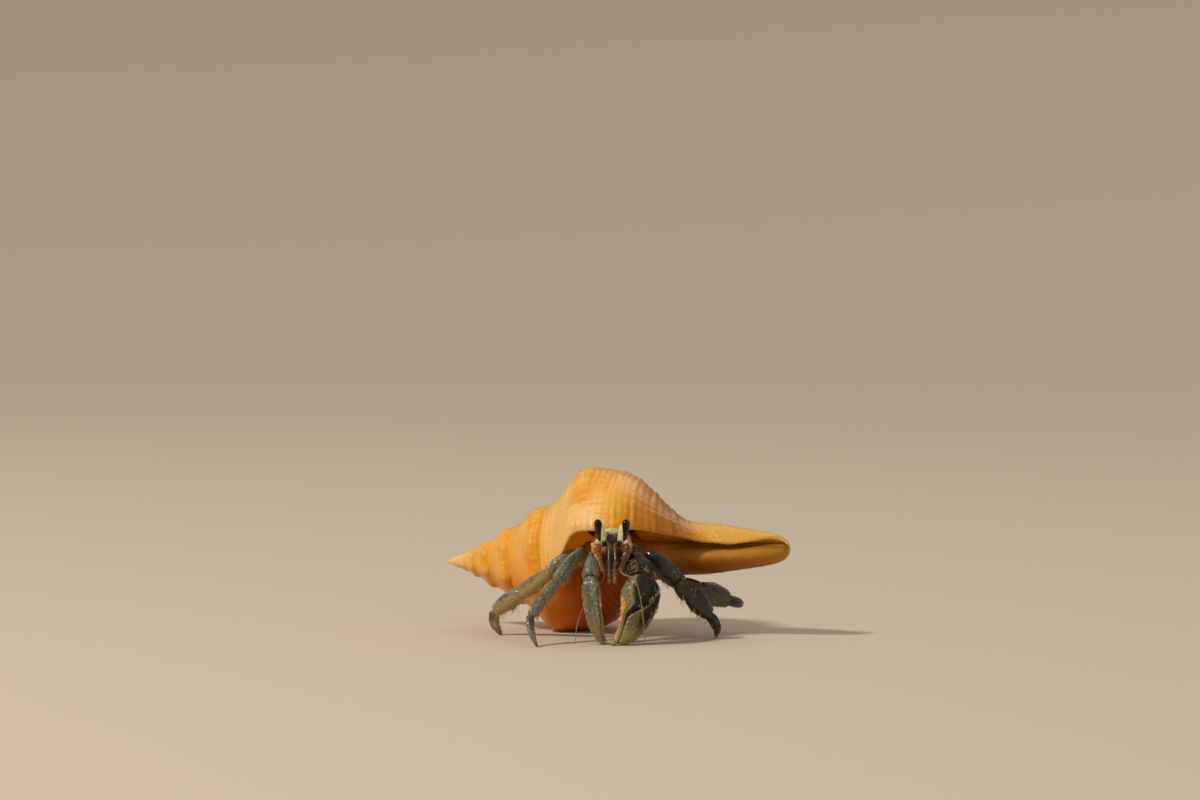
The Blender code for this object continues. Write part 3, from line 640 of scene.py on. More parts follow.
def granules(along, around, seed, per_turn):
    """Height, 0 to 1, of domes strewn one to a cell over a surface. Both coordinates are in cells, and
    around starts again after per_turn of them. A dome's height falls with the square of the distance from
    its middle."""
    row, column = np.floor(along), np.floor(around)
    height = np.zeros(np.broadcast(along, around).shape)
    for i in (-1, 0, 1):
        for j in (-1, 0, 1):
            cell = (row + i, np.mod(column + j, per_turn))
            size = 0.28 + 0.36 * chance(*cell, seed + 2)
            middle_along = row + i + 0.2 + 0.6 * chance(*cell, seed)
            middle_around = column + j + 0.2 + 0.6 * chance(*cell, seed + 1)
            off = np.hypot(along - middle_along, around - middle_around) / size
            height = np.maximum(height, np.clip(1.0 - off**2, 0.0, 1.0) * (0.4 + size))
    return height


def turns(sides):
    """Angles evenly spread round a limb."""
    return np.linspace(0, 2 * math.pi, sides, endpoint=False)


class Gather:
    """Closed bodies collected into one piece. Each is a grid of rings whose two ends close in a point."""

    def __init__(self):
        self.points, self.faces, self.marks, self.skins, self.count = [], [], [], [], 0

    def rings(self, grid, **marks):
        """Adds a body from its rings of points, with its marks."""
        number = np.arange(grid[..., 0].size).reshape(grid.shape[:2])
        number[0], number[-1] = number[0, 0], number[-1, 0]
        number = np.concatenate([number, number[:, :1]], axis=1)
        faces = cells(number)
        a, b, c, d = (grid.reshape(-1, 3)[faces[:, k]] for k in range(4))
        if np.einsum("ij,ij->", a, np.cross(b, c)) + np.einsum("ij,ij->", a, np.cross(c, d)) < 0.0:
            faces = faces[:, ::-1]
        self.faces.append(faces + self.count)
        self.points.append(grid.reshape(-1, 3))
        self.count += number.shape[0] * grid.shape[1]
        self.shape = grid.shape[:2]
        self.marks.append({})
        self.mark(**marks)

    def mark(self, **marks):
        """Marks the last body. Each mark is a number for each point, or one for them all."""
        for key, value in marks.items():
            self.marks[-1][key] = np.broadcast_to(value, self.shape).ravel()

    def limb(self, grid, outward, along, half, **marks):
        """Adds a body, and keeps its skin as the bristles need it: the directions outwards and along it, and
        its half height at each ring."""
        self.rings(grid, **marks)
        self.skins.append(dict(marks, grid=grid, outward=outward, along=along, half=half))

    def piece(self, name, finish, slot, *nodes):
        """Makes the piece, which stands for these CAD nodes. A mark that a body lacks is 0 on it."""
        keys = sorted(set().union(*self.marks))
        marks = {
            key: np.concatenate([m.get(key, np.zeros(len(p))) for m, p in zip(self.marks, self.points)])
            for key in keys
        }
        add_piece(name, slot, nodes, finish, np.concatenate(self.points), np.concatenate(self.faces), marks)


def sections(path, half_up, half_side, up, turn, ridge=0.0):
    """Ovals of points along a path. At each place half_up is the half breadth towards up and half_side the
    one square to it; a ridge makes the side towards up stand out. Returns the points and the outward
    directions."""
    tangent = unit(np.gradient(path, axis=0))
    above = unit(np.asarray(up) - (tangent @ np.asarray(up))[:, None] * tangent)
    beside = np.cross(tangent, above)
    swell_out = 1.0 + ridge * bell(turn / 0.4) + ridge * bell((turn - 2 * math.pi) / 0.4)
    high = (half_up[:, None] * np.cos(turn) * swell_out)[..., None] * above[:, None]
    wide = (half_side[:, None] * np.sin(turn))[..., None] * beside[:, None]
    return path[:, None] + high + wide, unit(high + wide + 1e-9 * above[:, None])


def cuticle_part(gather, start, end, girths, up, flat, seed, bow=(0, 0, 0), neck=NECK, rough=1.0, tip=False,
                 arch=0.0, cap=0.3, begin=0.3, pinch=0.16):
    """One hard tube of a limb from joint to joint: a neck, a body whose half height follows girths, and a
    rim. Granules stand on it, least on its underside. bow moves the middle of its axis sideways and arch cuts
    its far edge back on top, in millimetres. begin and cap are the lengths over which its two ends round off,
    and pinch is how much narrower its neck is."""
    start, end = np.asarray(start, float), np.asarray(end, float)
    length = np.linalg.norm(end - start)
    reach = neck * 0.75
    along = -reach + (length + reach) * crowded(int(length / 0.055) + 24, 0.35)
    on_axis = along / length
    inside = np.clip(on_axis, 0, 1)
    path = start + on_axis[:, None] * (end - start) + np.sin(math.pi * inside)[:, None] * np.array(bow)
    half = height_on(list(zip(np.linspace(0, 1, len(girths)), girths)), inside)
    half = half * (1.0 - pinch * (1.0 - smooth_step((along + 0.1) / neck)))
    if not tip:
        half = half * (1.0 + 0.04 * bell((length - RIM - along) / (0.8 * RIM)))
    half = half * rounded(np.minimum((along + reach) / begin, (length - along) / cap))
    turn = turns(SIDES)
    grid, outward = sections(path, half, half * flat, up, turn, RIDGE)
    per_turn = int(2 * math.pi * np.mean(girths) * 0.87 / GRANULE)
    round_it = (np.cos(turn), np.sin(turn))
    # The granules stand in short rows that slant a little round the limb.
    slant = 0.5 * wobble(seed + 40, along[:, None] * 0.8, *round_it)
    row = along[:, None] / (GRANULE * GRANULE_LENGTH) + slant
    grain = granules(row, turn * per_turn / (2 * math.pi), seed, per_turn)
    upper = np.cos(turn)[None, :] + 0 * grain
    mask = (0.35 + 0.65 * smooth_step((upper + 0.9) / 0.9)) * smooth_step((along / neck)[:, None] - 0.3)
    mask = mask * smooth_step((length - along)[:, None] / 0.25 - 0.4) * rough
    uneven = 0.5 * wobble(seed, along[:, None] * 1.6, 3 * round_it[0], 3 * round_it[1])
    out = (GRANULE_HEIGHT * grain * mask + UNEVEN_HEIGHT * uneven) * np.minimum(half / 0.4, 1.0)[:, None]
    streak = 0.5 + 0.5 * wobble(seed + 20, along[:, None] * 0.9, 7 * round_it[0], 7 * round_it[1])
    grid = grid + out[..., None] * outward
    shorten = arch * smooth_step((on_axis - 0.55) / 0.45)[:, None] * np.clip(round_it[0], 0.0, 1.0) ** 2
    grid = grid - shorten[..., None] * unit(end - start)
    far_joint = smooth_step((along - length + 0.3) / 0.14) * (not tip)
    joint = np.maximum(1.0 - smooth_step(along / (neck * 0.5)), far_joint)
    gather.limb(grid, outward, unit(np.gradient(path, axis=0)), half, grain=grain * mask, upper=upper,
                share=on_axis[:, None], joint=joint[:, None], streak=streak)


def cuticle_finish(name, back, side, belly, hinge, tip):
    """Hard glossy cuticle: grey with granules on its back and sides whose paler tops are painted glints,
    smooth translucent olive with a few pale dots below, dark specks in the hollows between the granules as
    painted shade, a pale green patch and cream rims at its joints, a horny tip, and a mark of painted shade
    that darkens whole legs."""
    paint = Paint(name)
    names = ("grain", "upper", "share", "joint", "horn", "olive", "painted_shade", "toe", "streak")
    grain, upper, share, joint, horn, olive, painted_shade, toe, streak = map(paint.mark, names)
    where = paint.place()
    clouds, specks = paint.noise(where, 1.1, 3.0, 0.6), paint.noise(where, 0.2, 2.0, 0.6)
    dots = paint.node("TexVoronoi", {"feature": "F1"}, {"Vector": where, "Scale": 2.2})
    height = upper + 0.7 * (clouds - 0.5) - olive
    streak = streak + 0.4 * (specks - 0.5)
    # Dark specks, most on the upper side, are painted shade in the hollows between the granules.
    hollow_shade = (1.0 - specks.step(0.34, 0.5)) * (0.2 + 0.4 * height.step(-0.5, 0.2))
    patch = share.band(0.8, 0.22) * height.step(-0.3, 0.5) * clouds.step(0.5, 0.62)
    skin = paint.coats(
        belly,
        (height.step(-0.7, 0.0), side),
        (height.step(-0.1, 0.6), back),
        ((1.0 - streak.step(0.2, 0.5)) * height.step(-0.5, 0.2) * 0.5, (50, 46, 36)),
        (streak.step(0.55, 0.85) * height.step(-0.6, 0.1) * 0.35, (164, 160, 138)),
        (hollow_shade, (34, 34, 30)),
        ((1.0 - dots.step(0.07, 0.15)) * (1.0 - height.step(-0.3, 0.3)) * 0.8, (214, 204, 160)),
        # painted glints on the granules' tops
        (grain.step(0.25, 0.9) * (0.15 + 0.3 * clouds), (178, 180, 168)),
        (patch * 0.6, (150, 164, 144)),
        (joint * (0.2 + 0.8 * clouds.step(0.35, 0.6)) * 0.45, hinge),
        # painted shade over the legs on the crab's left side
        (painted_shade, (24, 18, 9)),
        (toe * share.band(0.2, 0.36) * 0.75, (30, 34, 32)),
        (horn * 0.9, tip),
    )
    roughness = 0.17 + 0.2 * specks - 0.07 * grain.step(0.3, 0.9)
    bumps = 0.6 * specks + 0.4 * paint.noise(where, 0.07, 2.0)
    return paint.finish(skin, roughness, paint.bump(bumps, 0.03), 0.4, flesh=0.08, specular=0.35)


leg_cuticle = cuticle_finish(
    "leg_cuticle", (105, 105, 96), (119, 112, 90), (158, 130, 66), (158, 142, 92), (118, 82, 26)
)


def leg_joints(leg):
    """The leg's joints from base to tip, as the CAD nodes meet."""
    names = [f"{leg}_{part}" for part in LEG_PARTS]
    inner = [meeting(a, b) for a, b in zip(names[:-1], names[1:])]
    return [free_end(names[0], inner[0]), *inner, free_end(names[-1], inner[-1])]


leg_skins = {}
for number_of_leg, (leg, girths) in enumerate(LEG_GIRTHS.items()):
    joints = leg_joints(leg)
    legs = Gather()
    upright, outward_way = np.array([0.0, 0.0, 1.0]), unit((joints[4] - joints[0]) * (1, 1, 0))
    for k, part in enumerate(LEG_PARTS):
        start, end = joints[k], joints[k + 1]
        up = outward_way if part == "dactyl" else upright
        bow = {"merus": LEG_BOW, "propodus": LEG_BOW, "dactyl": TIP_BOW}.get(part, 0.0) * up
        if part == "base":
            corner = np.array([start[0] + 0.75 * (end[0] - start[0]), start[1], start[2] + 0.1])
            bow = 0.55 * (corner - (start + 0.5 * (end - start)))
        cuticle_part(legs, start, end, girths[k], up, LEG_FLATNESS, 10 * number_of_leg + k, bow,
                     rough=0.6 if part in ("base", "dactyl") else 1.0, tip=part == "dactyl")
        # The base is thin brown skin, and the dactyl's far part smooth dark horn.
        horn = {"base": 0.8, "dactyl": smooth_step((legs.skins[-1]["share"] - 0.55) / 0.35)}.get(part, 0.0)
        # The second tone is painted shade.
        olive, painted_shade = LEG_TONES[leg]
        legs.mark(horn=horn, olive=olive, painted_shade=painted_shade, toe=float(part == "dactyl"))
    legs.piece(leg, leg_cuticle, "leg_shell", *(f"{leg}_{part}" for part in LEG_PARTS))
    leg_skins[leg] = legs.skins

# ---------------------------------------------------------------- claws
# The first pair of legs. Arm and wrist are hard tubes like the legs'; the hand narrows to a fixed finger,
# against which the movable finger closes along a parting. The crab's left hand is bigger and shuts the mouth
# of the shell.

CLAW_PARTS = ("arm", "carpus", "palm", "finger")
HAND_SIDES, HAND_GRANULE = 132, 0.2
HAND_GRANULE_HEIGHT, TUBERCLE_HEIGHT, TOOTH_HEIGHT, HAND_UNEVEN = 0.075, 0.09, 0.08, 0.02
TOOTH_PITCH = 0.5
ARM_GIRTHS = {  # half thicknesses of arm and wrist, and their half widths as a share of them
    "claw_left": (((0.6, 0.75, 0.6), 1.22), ((0.42, 0.86, 1.08, 1.14), 1.28)),
    "claw_right": (((0.42, 0.52, 0.4), 1.22), ((0.24, 0.46, 0.64, 0.74), 1.28)),
}
ARM_ROUGH = {"claw_left": 0.5, "claw_right": 1.1}  # how far the granules stand on arm and wrist
HAND_ROUGH = {"claw_left": (0.2, 0.65), "claw_right": (1.1, 1.1)}  # and on the hand's outer and inner half


def slices(node, axis, rows, sides, soften):
    """Rings of points round a CAD solid. It is sliced square to an axis at heights that crowd at its ends,
    and from the middle of each slice a ray at each turn runs to the farthest edge it crosses. A bell-shaped
    average over soften rows and sides rounds the facets off, and the first and last rings close to a
    point."""
    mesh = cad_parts[node].data
    mesh.calc_loop_triangles()
    points = np.empty(len(mesh.vertices) * 3)
    mesh.vertices.foreach_get("co", points)
    triangles = np.empty(len(mesh.loop_triangles) * 3, np.int32)
    mesh.loop_triangles.foreach_get("vertices", triangles)
    order = [(axis + 1) % 3, (axis + 2) % 3, axis]
    corner = (points.reshape(-1, 3) / MM)[triangles.reshape(-1, 3)][..., order]
    low, high = corner[..., 2].min(), corner[..., 2].max()
    share = crowded(rows, 0.6)
    level = low + (high - low) * np.clip(share, 0.02, 0.98)
    other = np.roll(corner, -1, axis=1)
    rise = other[..., 2] - corner[..., 2]
    part = (level[:, None, None] - corner[..., 2]) / np.where(rise == 0.0, 1e-9, rise)
    crossed = (part >= 0.0) & (part < 1.0) & (rise != 0.0)
    place = corner[..., :2] + part[..., None] * (other - corner)[..., :2]
    real = crossed.sum(axis=2) == 2
    first, second = crossed.argmax(axis=2), 2 - crossed[..., ::-1].argmax(axis=2)
    p = np.take_along_axis(place, first[..., None, None], axis=2)[:, :, 0]
    q = np.take_along_axis(place, second[..., None, None], axis=2)[:, :, 0]
    wide = np.where(real[..., None], p, np.nan)
    middle = 0.5 * (np.nanmin(wide, axis=1) + np.nanmax(wide, axis=1))
    way = np.stack([np.cos(turns(sides)), np.sin(turns(sides))], axis=1)
    edge = (q - p)[:, None]
    to = (p - middle[:, None])[:, None]
    over = way[None, :, None, 0] * edge[..., 1] - way[None, :, None, 1] * edge[..., 0]
    over = np.where(np.abs(over) < 1e-9, 1e-9, over)
    far = (to[..., 0] * edge[..., 1] - to[..., 1] * edge[..., 0]) / over
    at = (to[..., 0] * way[None, :, None, 1] - to[..., 1] * way[None, :, None, 0]) / over
    hit = real[:, None] & (at >= -1e-6) & (at <= 1.0 + 1e-6) & (far > 0.0)
    radius = np.where(hit, far, 0.0).max(axis=2)

    steps = np.arange(-3 * soften, 3 * soften + 1)
    weight = bell(steps / soften / 1.4)

    def soft(values, shift):
        return sum(w * shift(values, k) for w, k in zip(weight, steps)) / weight.sum()

    def lengthways(values, k):
        return values[np.clip(np.arange(rows) + k, 0, rows - 1)]

    radius = soft(radius, lambda values, k: np.roll(values, k, axis=1))
    radius, middle = soft(radius, lengthways), soft(middle, lengthways)
    height = low + (high - low) * share
    ends = np.minimum(height - low, high - height) / (0.8 * np.minimum(radius.mean(axis=1), 0.9) + 1e-6)
    radius = radius * rounded(ends)[:, None]
    flat = middle[:, None] + radius[..., None] * way[None]
    upwards = np.broadcast_to(height[:, None, None], radius.shape + (1,))
    grid = np.concatenate([flat, upwards], axis=2)
    return grid[..., np.argsort(order)], share


def facing(grid):
    """Outward directions of a closed grid of rings: square to its lines along and round it."""
    along = np.gradient(grid, axis=0)
    around = np.roll(grid, -1, axis=1) - np.roll(grid, 1, axis=1)
    normal = np.cross(along, around)
    middle = grid.mean(axis=1, keepdims=True)
    sign = np.sign(np.einsum("ijk,ijk->", normal, grid - middle))
    return sign * normal / (np.linalg.norm(normal, axis=2, keepdims=True) + 1e-9)


def hand_part(gather, node, seed, inward, rows, rough, glow, dome):
    """A hand or finger from its CAD solid, with granules, bigger tubercles on its outer edge and a row of
    blunt teeth on its inner one. inward is +1 or -1, the way along X to the crab's midline. rough is how far
    granules stand on the outer and on the inner half, glow whether the inner edge is clear orange horn, and
    dome how far the top of its front rises."""
    grid, share = slices(node, 2, rows, HAND_SIDES, 3)
    share = 1.0 - share[:, None]
    outward = facing(grid)
    middle = grid.mean(axis=1, keepdims=True)
    reach = np.abs(grid - middle).max(axis=1, keepdims=True) + 1e-6
    across = inward * (grid - middle)[..., 0] / reach[..., 0]
    reach = reach[..., 0]
    front = -outward[..., 1]
    turn = turns(HAND_SIDES)
    per_turn = max(int(2 * math.pi * reach.mean() * 0.85 / HAND_GRANULE), 8)
    knobs = int(per_turn * 0.4)
    slant = 0.5 * wobble(seed + 3, grid[..., 2] * 0.7, np.cos(turn), np.sin(turn))
    depth = grid[:, :1, 2] / HAND_GRANULE
    grain = granules(depth / GRANULE_LENGTH + slant, turn * per_turn / (2 * math.pi), seed, per_turn)
    knob = granules(depth * 0.4, turn * knobs / (2 * math.pi), seed + 5, knobs)
    size = np.clip(reach / 0.8, 0.0, 1.0)
    edge = smooth_step((-across - 0.45) / 0.4)
    mask = (0.35 + 0.65 * smooth_step((front + 0.7) / 0.9)) * size
    mask = mask * (rough[0] + (rough[1] - rough[0]) * smooth_step((across + 0.25) / 0.5))
    mask = mask * smooth_step(share / 0.07) * smooth_step((1.02 - share) / 0.12)
    teeth = bell((across - 0.96) / 0.16) * (0.5 + 0.5 * np.cos(2 * math.pi * grid[..., 2] / TOOTH_PITCH))
    teeth = teeth * smooth_step((share - 0.35) / 0.15) * smooth_step((0.97 - share) / 0.1)
    uneven = wobble(seed, *np.moveaxis(1.3 * grid, -1, 0))
    out = HAND_GRANULE_HEIGHT * grain * mask + TUBERCLE_HEIGHT * knob * edge * size * mask
    out = out + TOOTH_HEIGHT * teeth * size + HAND_UNEVEN * uneven * size
    grid = grid + out[..., None] * outward
    # The front of the hand's top is a dome that stands over the wrist's edge.
    grid[..., 2] += dome * np.clip(front, 0.0, 1.0) * (1.0 - smooth_step(share / 0.2))
    streak = 0.5 + 0.5 * wobble(seed + 20, grid[..., 2] * 0.9, 7 * np.cos(turn), 7 * np.sin(turn))
    downwards = np.array([[0.0, 0.0, -1.0]]) + 0 * grid[:, 0]
    gather.limb(grid, outward, downwards, reach[:, 0], grain=np.maximum(grain * mask, knob * edge * mask),
                upper=front, share=share, joint=1.0 - smooth_step(share / 0.05), inner=across, glow=glow,
                hand=1.0, streak=streak)


def claw_finish(name, back, side, strip, belly, tip, strip_from, glow_from, dull):
    """Claw cuticle: a dark outer face, a paler strip towards the midline that is thick with granules, an
    orange translucent inner edge, cream at the joints and an olive horny tip. The granules' pale tops and
    the pale specks on the orange edge are painted glints, and dark specks are painted shade between the
    granules."""
    paint = Paint(name)
    names = ("grain", "upper", "share", "inner", "joint", "hand", "streak", "glow")
    grain, front, share, inner, joint, hand, streak, glow = map(paint.mark, names)
    where = paint.place()
    clouds, specks = paint.noise(where, 0.9, 3.0, 0.6), paint.noise(where, 0.16, 2.0, 0.6)
    ragged = inner + 0.5 * (clouds - 0.5) + 0.4 * dull * share.step(0.15, 0.5)
    on_strip = ragged.step(strip_from, strip_from + 0.3) * hand
    streak = streak + 0.4 * (specks - 0.5)
    glow_from = glow_from + 0.4 * dull
    clear = ragged.step(glow_from, glow_from + 0.2) * share.step(0.27, 0.4) * (1.0 - share.step(0.84, 0.93))
    clear = clear * glow * front.step(-0.2, 0.3)
    skin = paint.coats(
        side,
        (clouds.step(0.38, 0.62), back),
        ((1.0 - front.step(-0.5, 0.35)) * 0.7, belly),
        (on_strip * 0.85, strip),
        ((1.0 - streak.step(0.25, 0.5)) * on_strip * 0.5, (58, 48, 32)),
        (streak.step(0.55, 0.85) * on_strip * 0.3, (172, 164, 132)),
        # painted glints on the granules' tops
        (grain.step(0.3, 0.9) * (0.06 + 0.3 * on_strip), (184, 180, 156)),
        # painted shade between the granules
        ((1.0 - specks.step(0.34, 0.5)) * 0.5, (26, 22, 16)),
        (share.step(0.5, 0.85) * hand * 0.85, tip),
        (clear * (0.6 + 0.4 * specks.step(0.3, 0.6)), (232, 140, 24)),
        # painted glints on the orange edge
        (clear * grain.step(0.1, 0.5) * 0.7, (252, 220, 150)),
        (joint * (0.35 + 0.65 * clouds.step(0.35, 0.6)) * 0.75, (112, 92, 54)),
    )
    roughness = 0.18 + 0.2 * specks - 0.07 * grain.step(0.3, 0.9) + 0.22 * (1.0 - on_strip) * dull
    bumps = paint.bump(0.6 * specks + 0.4 * paint.noise(where, 0.07, 2.0), 0.03)
    return paint.finish(skin, roughness, bumps, 0.5 - 0.35 * dull, 0.08, 0.08, 0.35 - 0.15 * dull)


# Back, side, pale strip, belly and tip; where strip and orange edge begin; and how dull the claw is.
claw_looks = {
    "claw_left": claw_finish("claw_left_cuticle", (26, 19, 8), (40, 30, 15), (128, 120, 82), (56, 44, 24),
                             (138, 122, 70), 0.28, 0.55, 1.0),
    "claw_right": claw_finish("claw_right_cuticle", (88, 89, 77), (107, 105, 90), (128, 124, 98),
                              (92, 80, 50), (132, 118, 74), -0.3, 0.75, 0.0),
}
claw_skins = {}
for number_of_claw, (claw, inward) in enumerate((("claw_left", -1.0), ("claw_right", 1.0))):
    arm, wrist, palm, finger = nodes = [f"{claw}_{part}" for part in CLAW_PARTS]
    bend, hinge = meeting(arm, wrist), meeting(wrist, palm)
    claws = Gather()
    seed = 50 + 10 * number_of_claw
    ends = (free_end(arm, bend), bend, hinge + 0.3 * unit(hinge - bend))
    for k, (girths, wider) in enumerate(ARM_GIRTHS[claw]):
        cuticle_part(claws, ends[k], ends[k + 1], girths, (0.0, -1.0, 0.4), wider, seed + k, (0.0, -0.1, 0.1),
                     neck=0.45, rough=ARM_ROUGH[claw], arch=0.35 * k, cap=0.45)
    hand_part(claws, palm, seed + 4, inward, 150, HAND_ROUGH[claw], 1.0, 0.1)
    hand_part(claws, finger, seed + 7, inward, 110, HAND_ROUGH[claw], 0.0, 0.0)
    claws.piece(claw, claw_looks[claw], "claw_shell", *nodes)
    claw_skins[claw] = claws.skins

# ---------------------------------------------------------------- thorax and abdomen
# The hard shield over the crab's chest, with the dark plate between its eyes and the chest below the mouth,
# and the soft, wrinkled, twisted belly that follows the whorl up into the shell.

SHIELD_SIDES, SHIELD_GRANULE, SHIELD_GRANULES = 96, 0.3, 36  # pitch along the shield, and number round it
FOLD_PITCH, FOLD_DEPTH = 0.55, 0.035

shield = Gather()
grid, share = slices("thorax", 1, 120, SHIELD_SIDES, 4)
outward = facing(grid)
around = np.linspace(0, SHIELD_GRANULES, SHIELD_SIDES, endpoint=False)
grain = granules(grid[:, :1, 1] / SHIELD_GRANULE, around, 81, SHIELD_GRANULES)
grid = grid + (0.03 * grain + 0.03 * wobble(82, *np.moveaxis(1.2 * grid, -1, 0)))[..., None] * outward
shield.rings(grid, grain=grain, share=share[:, None])
brow = meeting("eyestalk_left", "thorax") * 0.5 + meeting("eyestalk_right", "thorax") * 0.5


def lump(gather, middle, half, seed, uneven, **marks):
    """An uneven egg: a ball stretched to half sizes along X, Y and Z, moved in and out by unevenness."""
    tall, turn = np.linspace(0, math.pi, 40)[:, None], turns(64)[None, :]
    ball = [np.sin(tall) * np.cos(turn), np.sin(tall) * np.sin(turn), np.cos(tall) + 0 * turn]
    ball = np.stack(ball, axis=-1)
    bumps = 1.0 + uneven * wobble(seed, *np.moveaxis(6.0 * ball, -1, 0))
    gather.rings(middle + ball * np.array(half) * bumps[..., None], grain=0.5, **marks)


# The plate between the eyes, the brow behind it, and the chest round the mouth, whose dark red-brown is
# partly its own colour and partly painted shade in the gap behind the feelers.
lump(shield, brow + (0.0, 0.0, 0.15), (0.62, 0.42, 0.45), 84, 0.22, dark=1.0)
lump(shield, brow + (0.0, 0.55, 0.85), (1.0, 0.55, 0.5), 86, 0.05)
lump(shield, brow + (0.0, 0.85, -1.5), (1.3, 0.7, 1.8), 85, 0.05, brown=1.0)


def shield_finish():
    """Cream at the shield's front edge, olive-grey with brown mottling behind it, black between the eyes and
    dark red-brown round the mouth, made darker as painted shade and paler towards its top."""
    paint = Paint("shield")
    grain, share, dark, brown = map(paint.mark, ("grain", "share", "dark", "brown"))
    where = paint.place()
    height = paint.node("SeparateXYZ", {}, {"Vector": where}, 2)
    clouds, specks = paint.noise(where, 0.8, 3.0, 0.6), paint.noise(where, 0.17, 2.0, 0.6)
    blot = paint.mix(specks.step(0.42, 0.6), (18, 15, 13), (82, 66, 44))
    # Painted shade: the chest round the mouth is darkened to stand for the shadow behind the feelers.
    mouth = paint.mix(clouds.step(0.5, 0.66), (34, 16, 9), (92, 46, 18))
    mouth = paint.mix((height + 0.8 * (clouds - 0.5)).step(9.7, 10.5), mouth, (150, 98, 34))
    skin = paint.coats(
        (150, 142, 110),
        (clouds.step(0.4, 0.6), (92, 84, 62)),
        ((1.0 - (share + 0.12 * (clouds - 0.5)).step(0.34, 0.5)) * 0.9, (222, 208, 158)),
        ((1.0 - specks.step(0.36, 0.48)) * 0.6, (48, 38, 26)),
        (dark, blot),
        (brown, mouth),
    )
    bumps = paint.bump(0.5 * specks + 0.5 * grain, 0.05)
    return paint.finish(skin, 0.26 + 0.25 * specks, bumps, 0.3, flesh=0.08)


shield.piece("thorax_shield", shield_finish(), "shield", "thorax")

belly = Gather()
grid, share = slices("abdomen", 1, 110, 90, 4)
outward = facing(grid)
fold = grid[..., 1] / FOLD_PITCH + 0.4 * wobble(91, *np.moveaxis(0.9 * grid, -1, 0))
fold = np.sin(2 * math.pi * fold)
folded = 0.04 + FOLD_DEPTH * fold + 0.02 * wobble(92, *np.moveaxis(3.0 * grid, -1, 0))
grid = grid - (folded * np.sin(math.pi * share)[:, None])[..., None] * outward
belly.rings(grid, fold=0.5 + 0.5 * fold)


def belly_finish():
    """Thin soft skin: pinkish tan with darker folds and a purplish net of blotches."""
    paint = Paint("soft_belly")
    where = paint.place()
    net = paint.node("TexVoronoi", {"feature": "DISTANCE_TO_EDGE"}, {"Vector": where, "Scale": 1.6})
    clouds, fine = paint.noise(where, 1.3, 3.0, 0.6), paint.noise(where, 0.15, 2.0)
    skin = paint.coats(
        (206, 146, 112),
        (clouds.step(0.35, 0.65), (176, 108, 84)),
        ((1.0 - net.step(0.02, 0.12)) * 0.35, (116, 66, 72)),
        ((1.0 - paint.mark("fold").step(0.1, 0.6)) * 0.4, (128, 72, 52)),
    )
    return paint.finish(skin, 0.3 + 0.2 * fine, paint.bump(fine, 0.04), 0.3, flesh=0.3)


belly.piece("soft_abdomen", belly_finish(), "soft_skin", "abdomen")

# ---------------------------------------------------------------- eyes
# Two stalks, flattened from side to side and cream on their inner faces, each capped on top and in front by a
# long black cornea. A pointed scale lies at the foot of each stalk.

# Half widths across and from front to back, from foot to top.
STALK_GIRTHS = (0.38, 0.43, 0.46, 0.47, 0.44), (0.4, 0.48, 0.52, 0.5, 0.44)
CORNEA_GIRTHS = (0.26, 0.34, 0.38, 0.42, 0.46, 0.5), (0.28, 0.4, 0.46, 0.5, 0.52, 0.5)
EYE_SCALE_GIRTHS = (0.2, 0.27, 0.29, 0.26, 0.2), (0.13, 0.16, 0.16, 0.13, 0.09)
SCALE_GRID = dict(sides=32, rows=40)


def egg(start, end, girths, lean=(0.0, 0.0, 0.0), sides=72, rows=80, blunt=0.55):
    """Rings of an upright egg from start to end. Half widths follow the two rows of girths, and its middle
    line leans by lean, most at the top; both ends close in a quarter oval."""
    share = crowded(rows, 0.7)
    path = start + share[:, None] * (end - start) + (share**1.5)[:, None] * np.array(lean)
    knots = np.linspace(0, 1, len(girths[0]))
    round_off = rounded(np.minimum(share / 0.1, (1.0 - share) / blunt))
    wide, deep = (height_on(list(zip(knots, row)), share) * round_off for row in girths)
    grid, outward = sections(path, wide, deep, (1.0, 0.0, 0.0), turns(sides))
    return grid, outward, share[:, None]


def stalk_finish():
    """Cream cuticle with olive-brown mottling and a black stripe down the front of the stalk to its foot."""
    paint = Paint("eyestalk_cream")
    share, inner, front = map(paint.mark, ("share", "inner", "front"))
    where = paint.place()
    clouds, specks = paint.noise(where, 0.45, 3.0, 0.6), paint.noise(where, 0.1, 2.0)
    stripe = (front + 0.3 * (clouds - 0.5)).step(0.3, 0.5) * inner.step(-0.45, -0.15)
    skin = paint.coats(
        (226, 220, 176),
        (clouds.step(0.5, 0.68) * 0.4, (168, 160, 112)),
        (stripe * (1.0 - (share + 0.1 * clouds).step(0.27, 0.4)), (13, 8, 7)),
        ((1.0 - share.step(0.02, 0.16)) * 0.9, (28, 20, 16)),
        ((1.0 - specks.step(0.36, 0.46)) * 0.25, (92, 84, 58)),
    )
    return paint.finish(skin, 0.2 + 0.15 * specks, paint.bump(specks, 0.015), 0.4, flesh=0.12)


def cornea_finish():
    """A clear hard skin over black-maroon pigment, in tiny facets, redder and clearer at its lower edge."""
    paint = Paint("cornea")
    where = paint.place()
    facets = paint.node("TexVoronoi", {"feature": "DISTANCE_TO_EDGE"}, {"Vector": where, "Scale": 22.0})
    clouds = paint.noise(where, 0.5, 2.0)
    rim = (1.0 - paint.mark("share").step(0.1, 0.4)) * clouds.step(0.25, 0.6)
    rim = rim + paint.mark("outer").step(-0.1, 0.7)
    skin = paint.mix(rim.step(0.0, 1.2), (7, 2, 3), (82, 32, 28))
    return paint.finish(skin, 0.04 + 0.03 * clouds, paint.bump(facets.step(0.0, 0.06), 0.0003), specular=0.28)


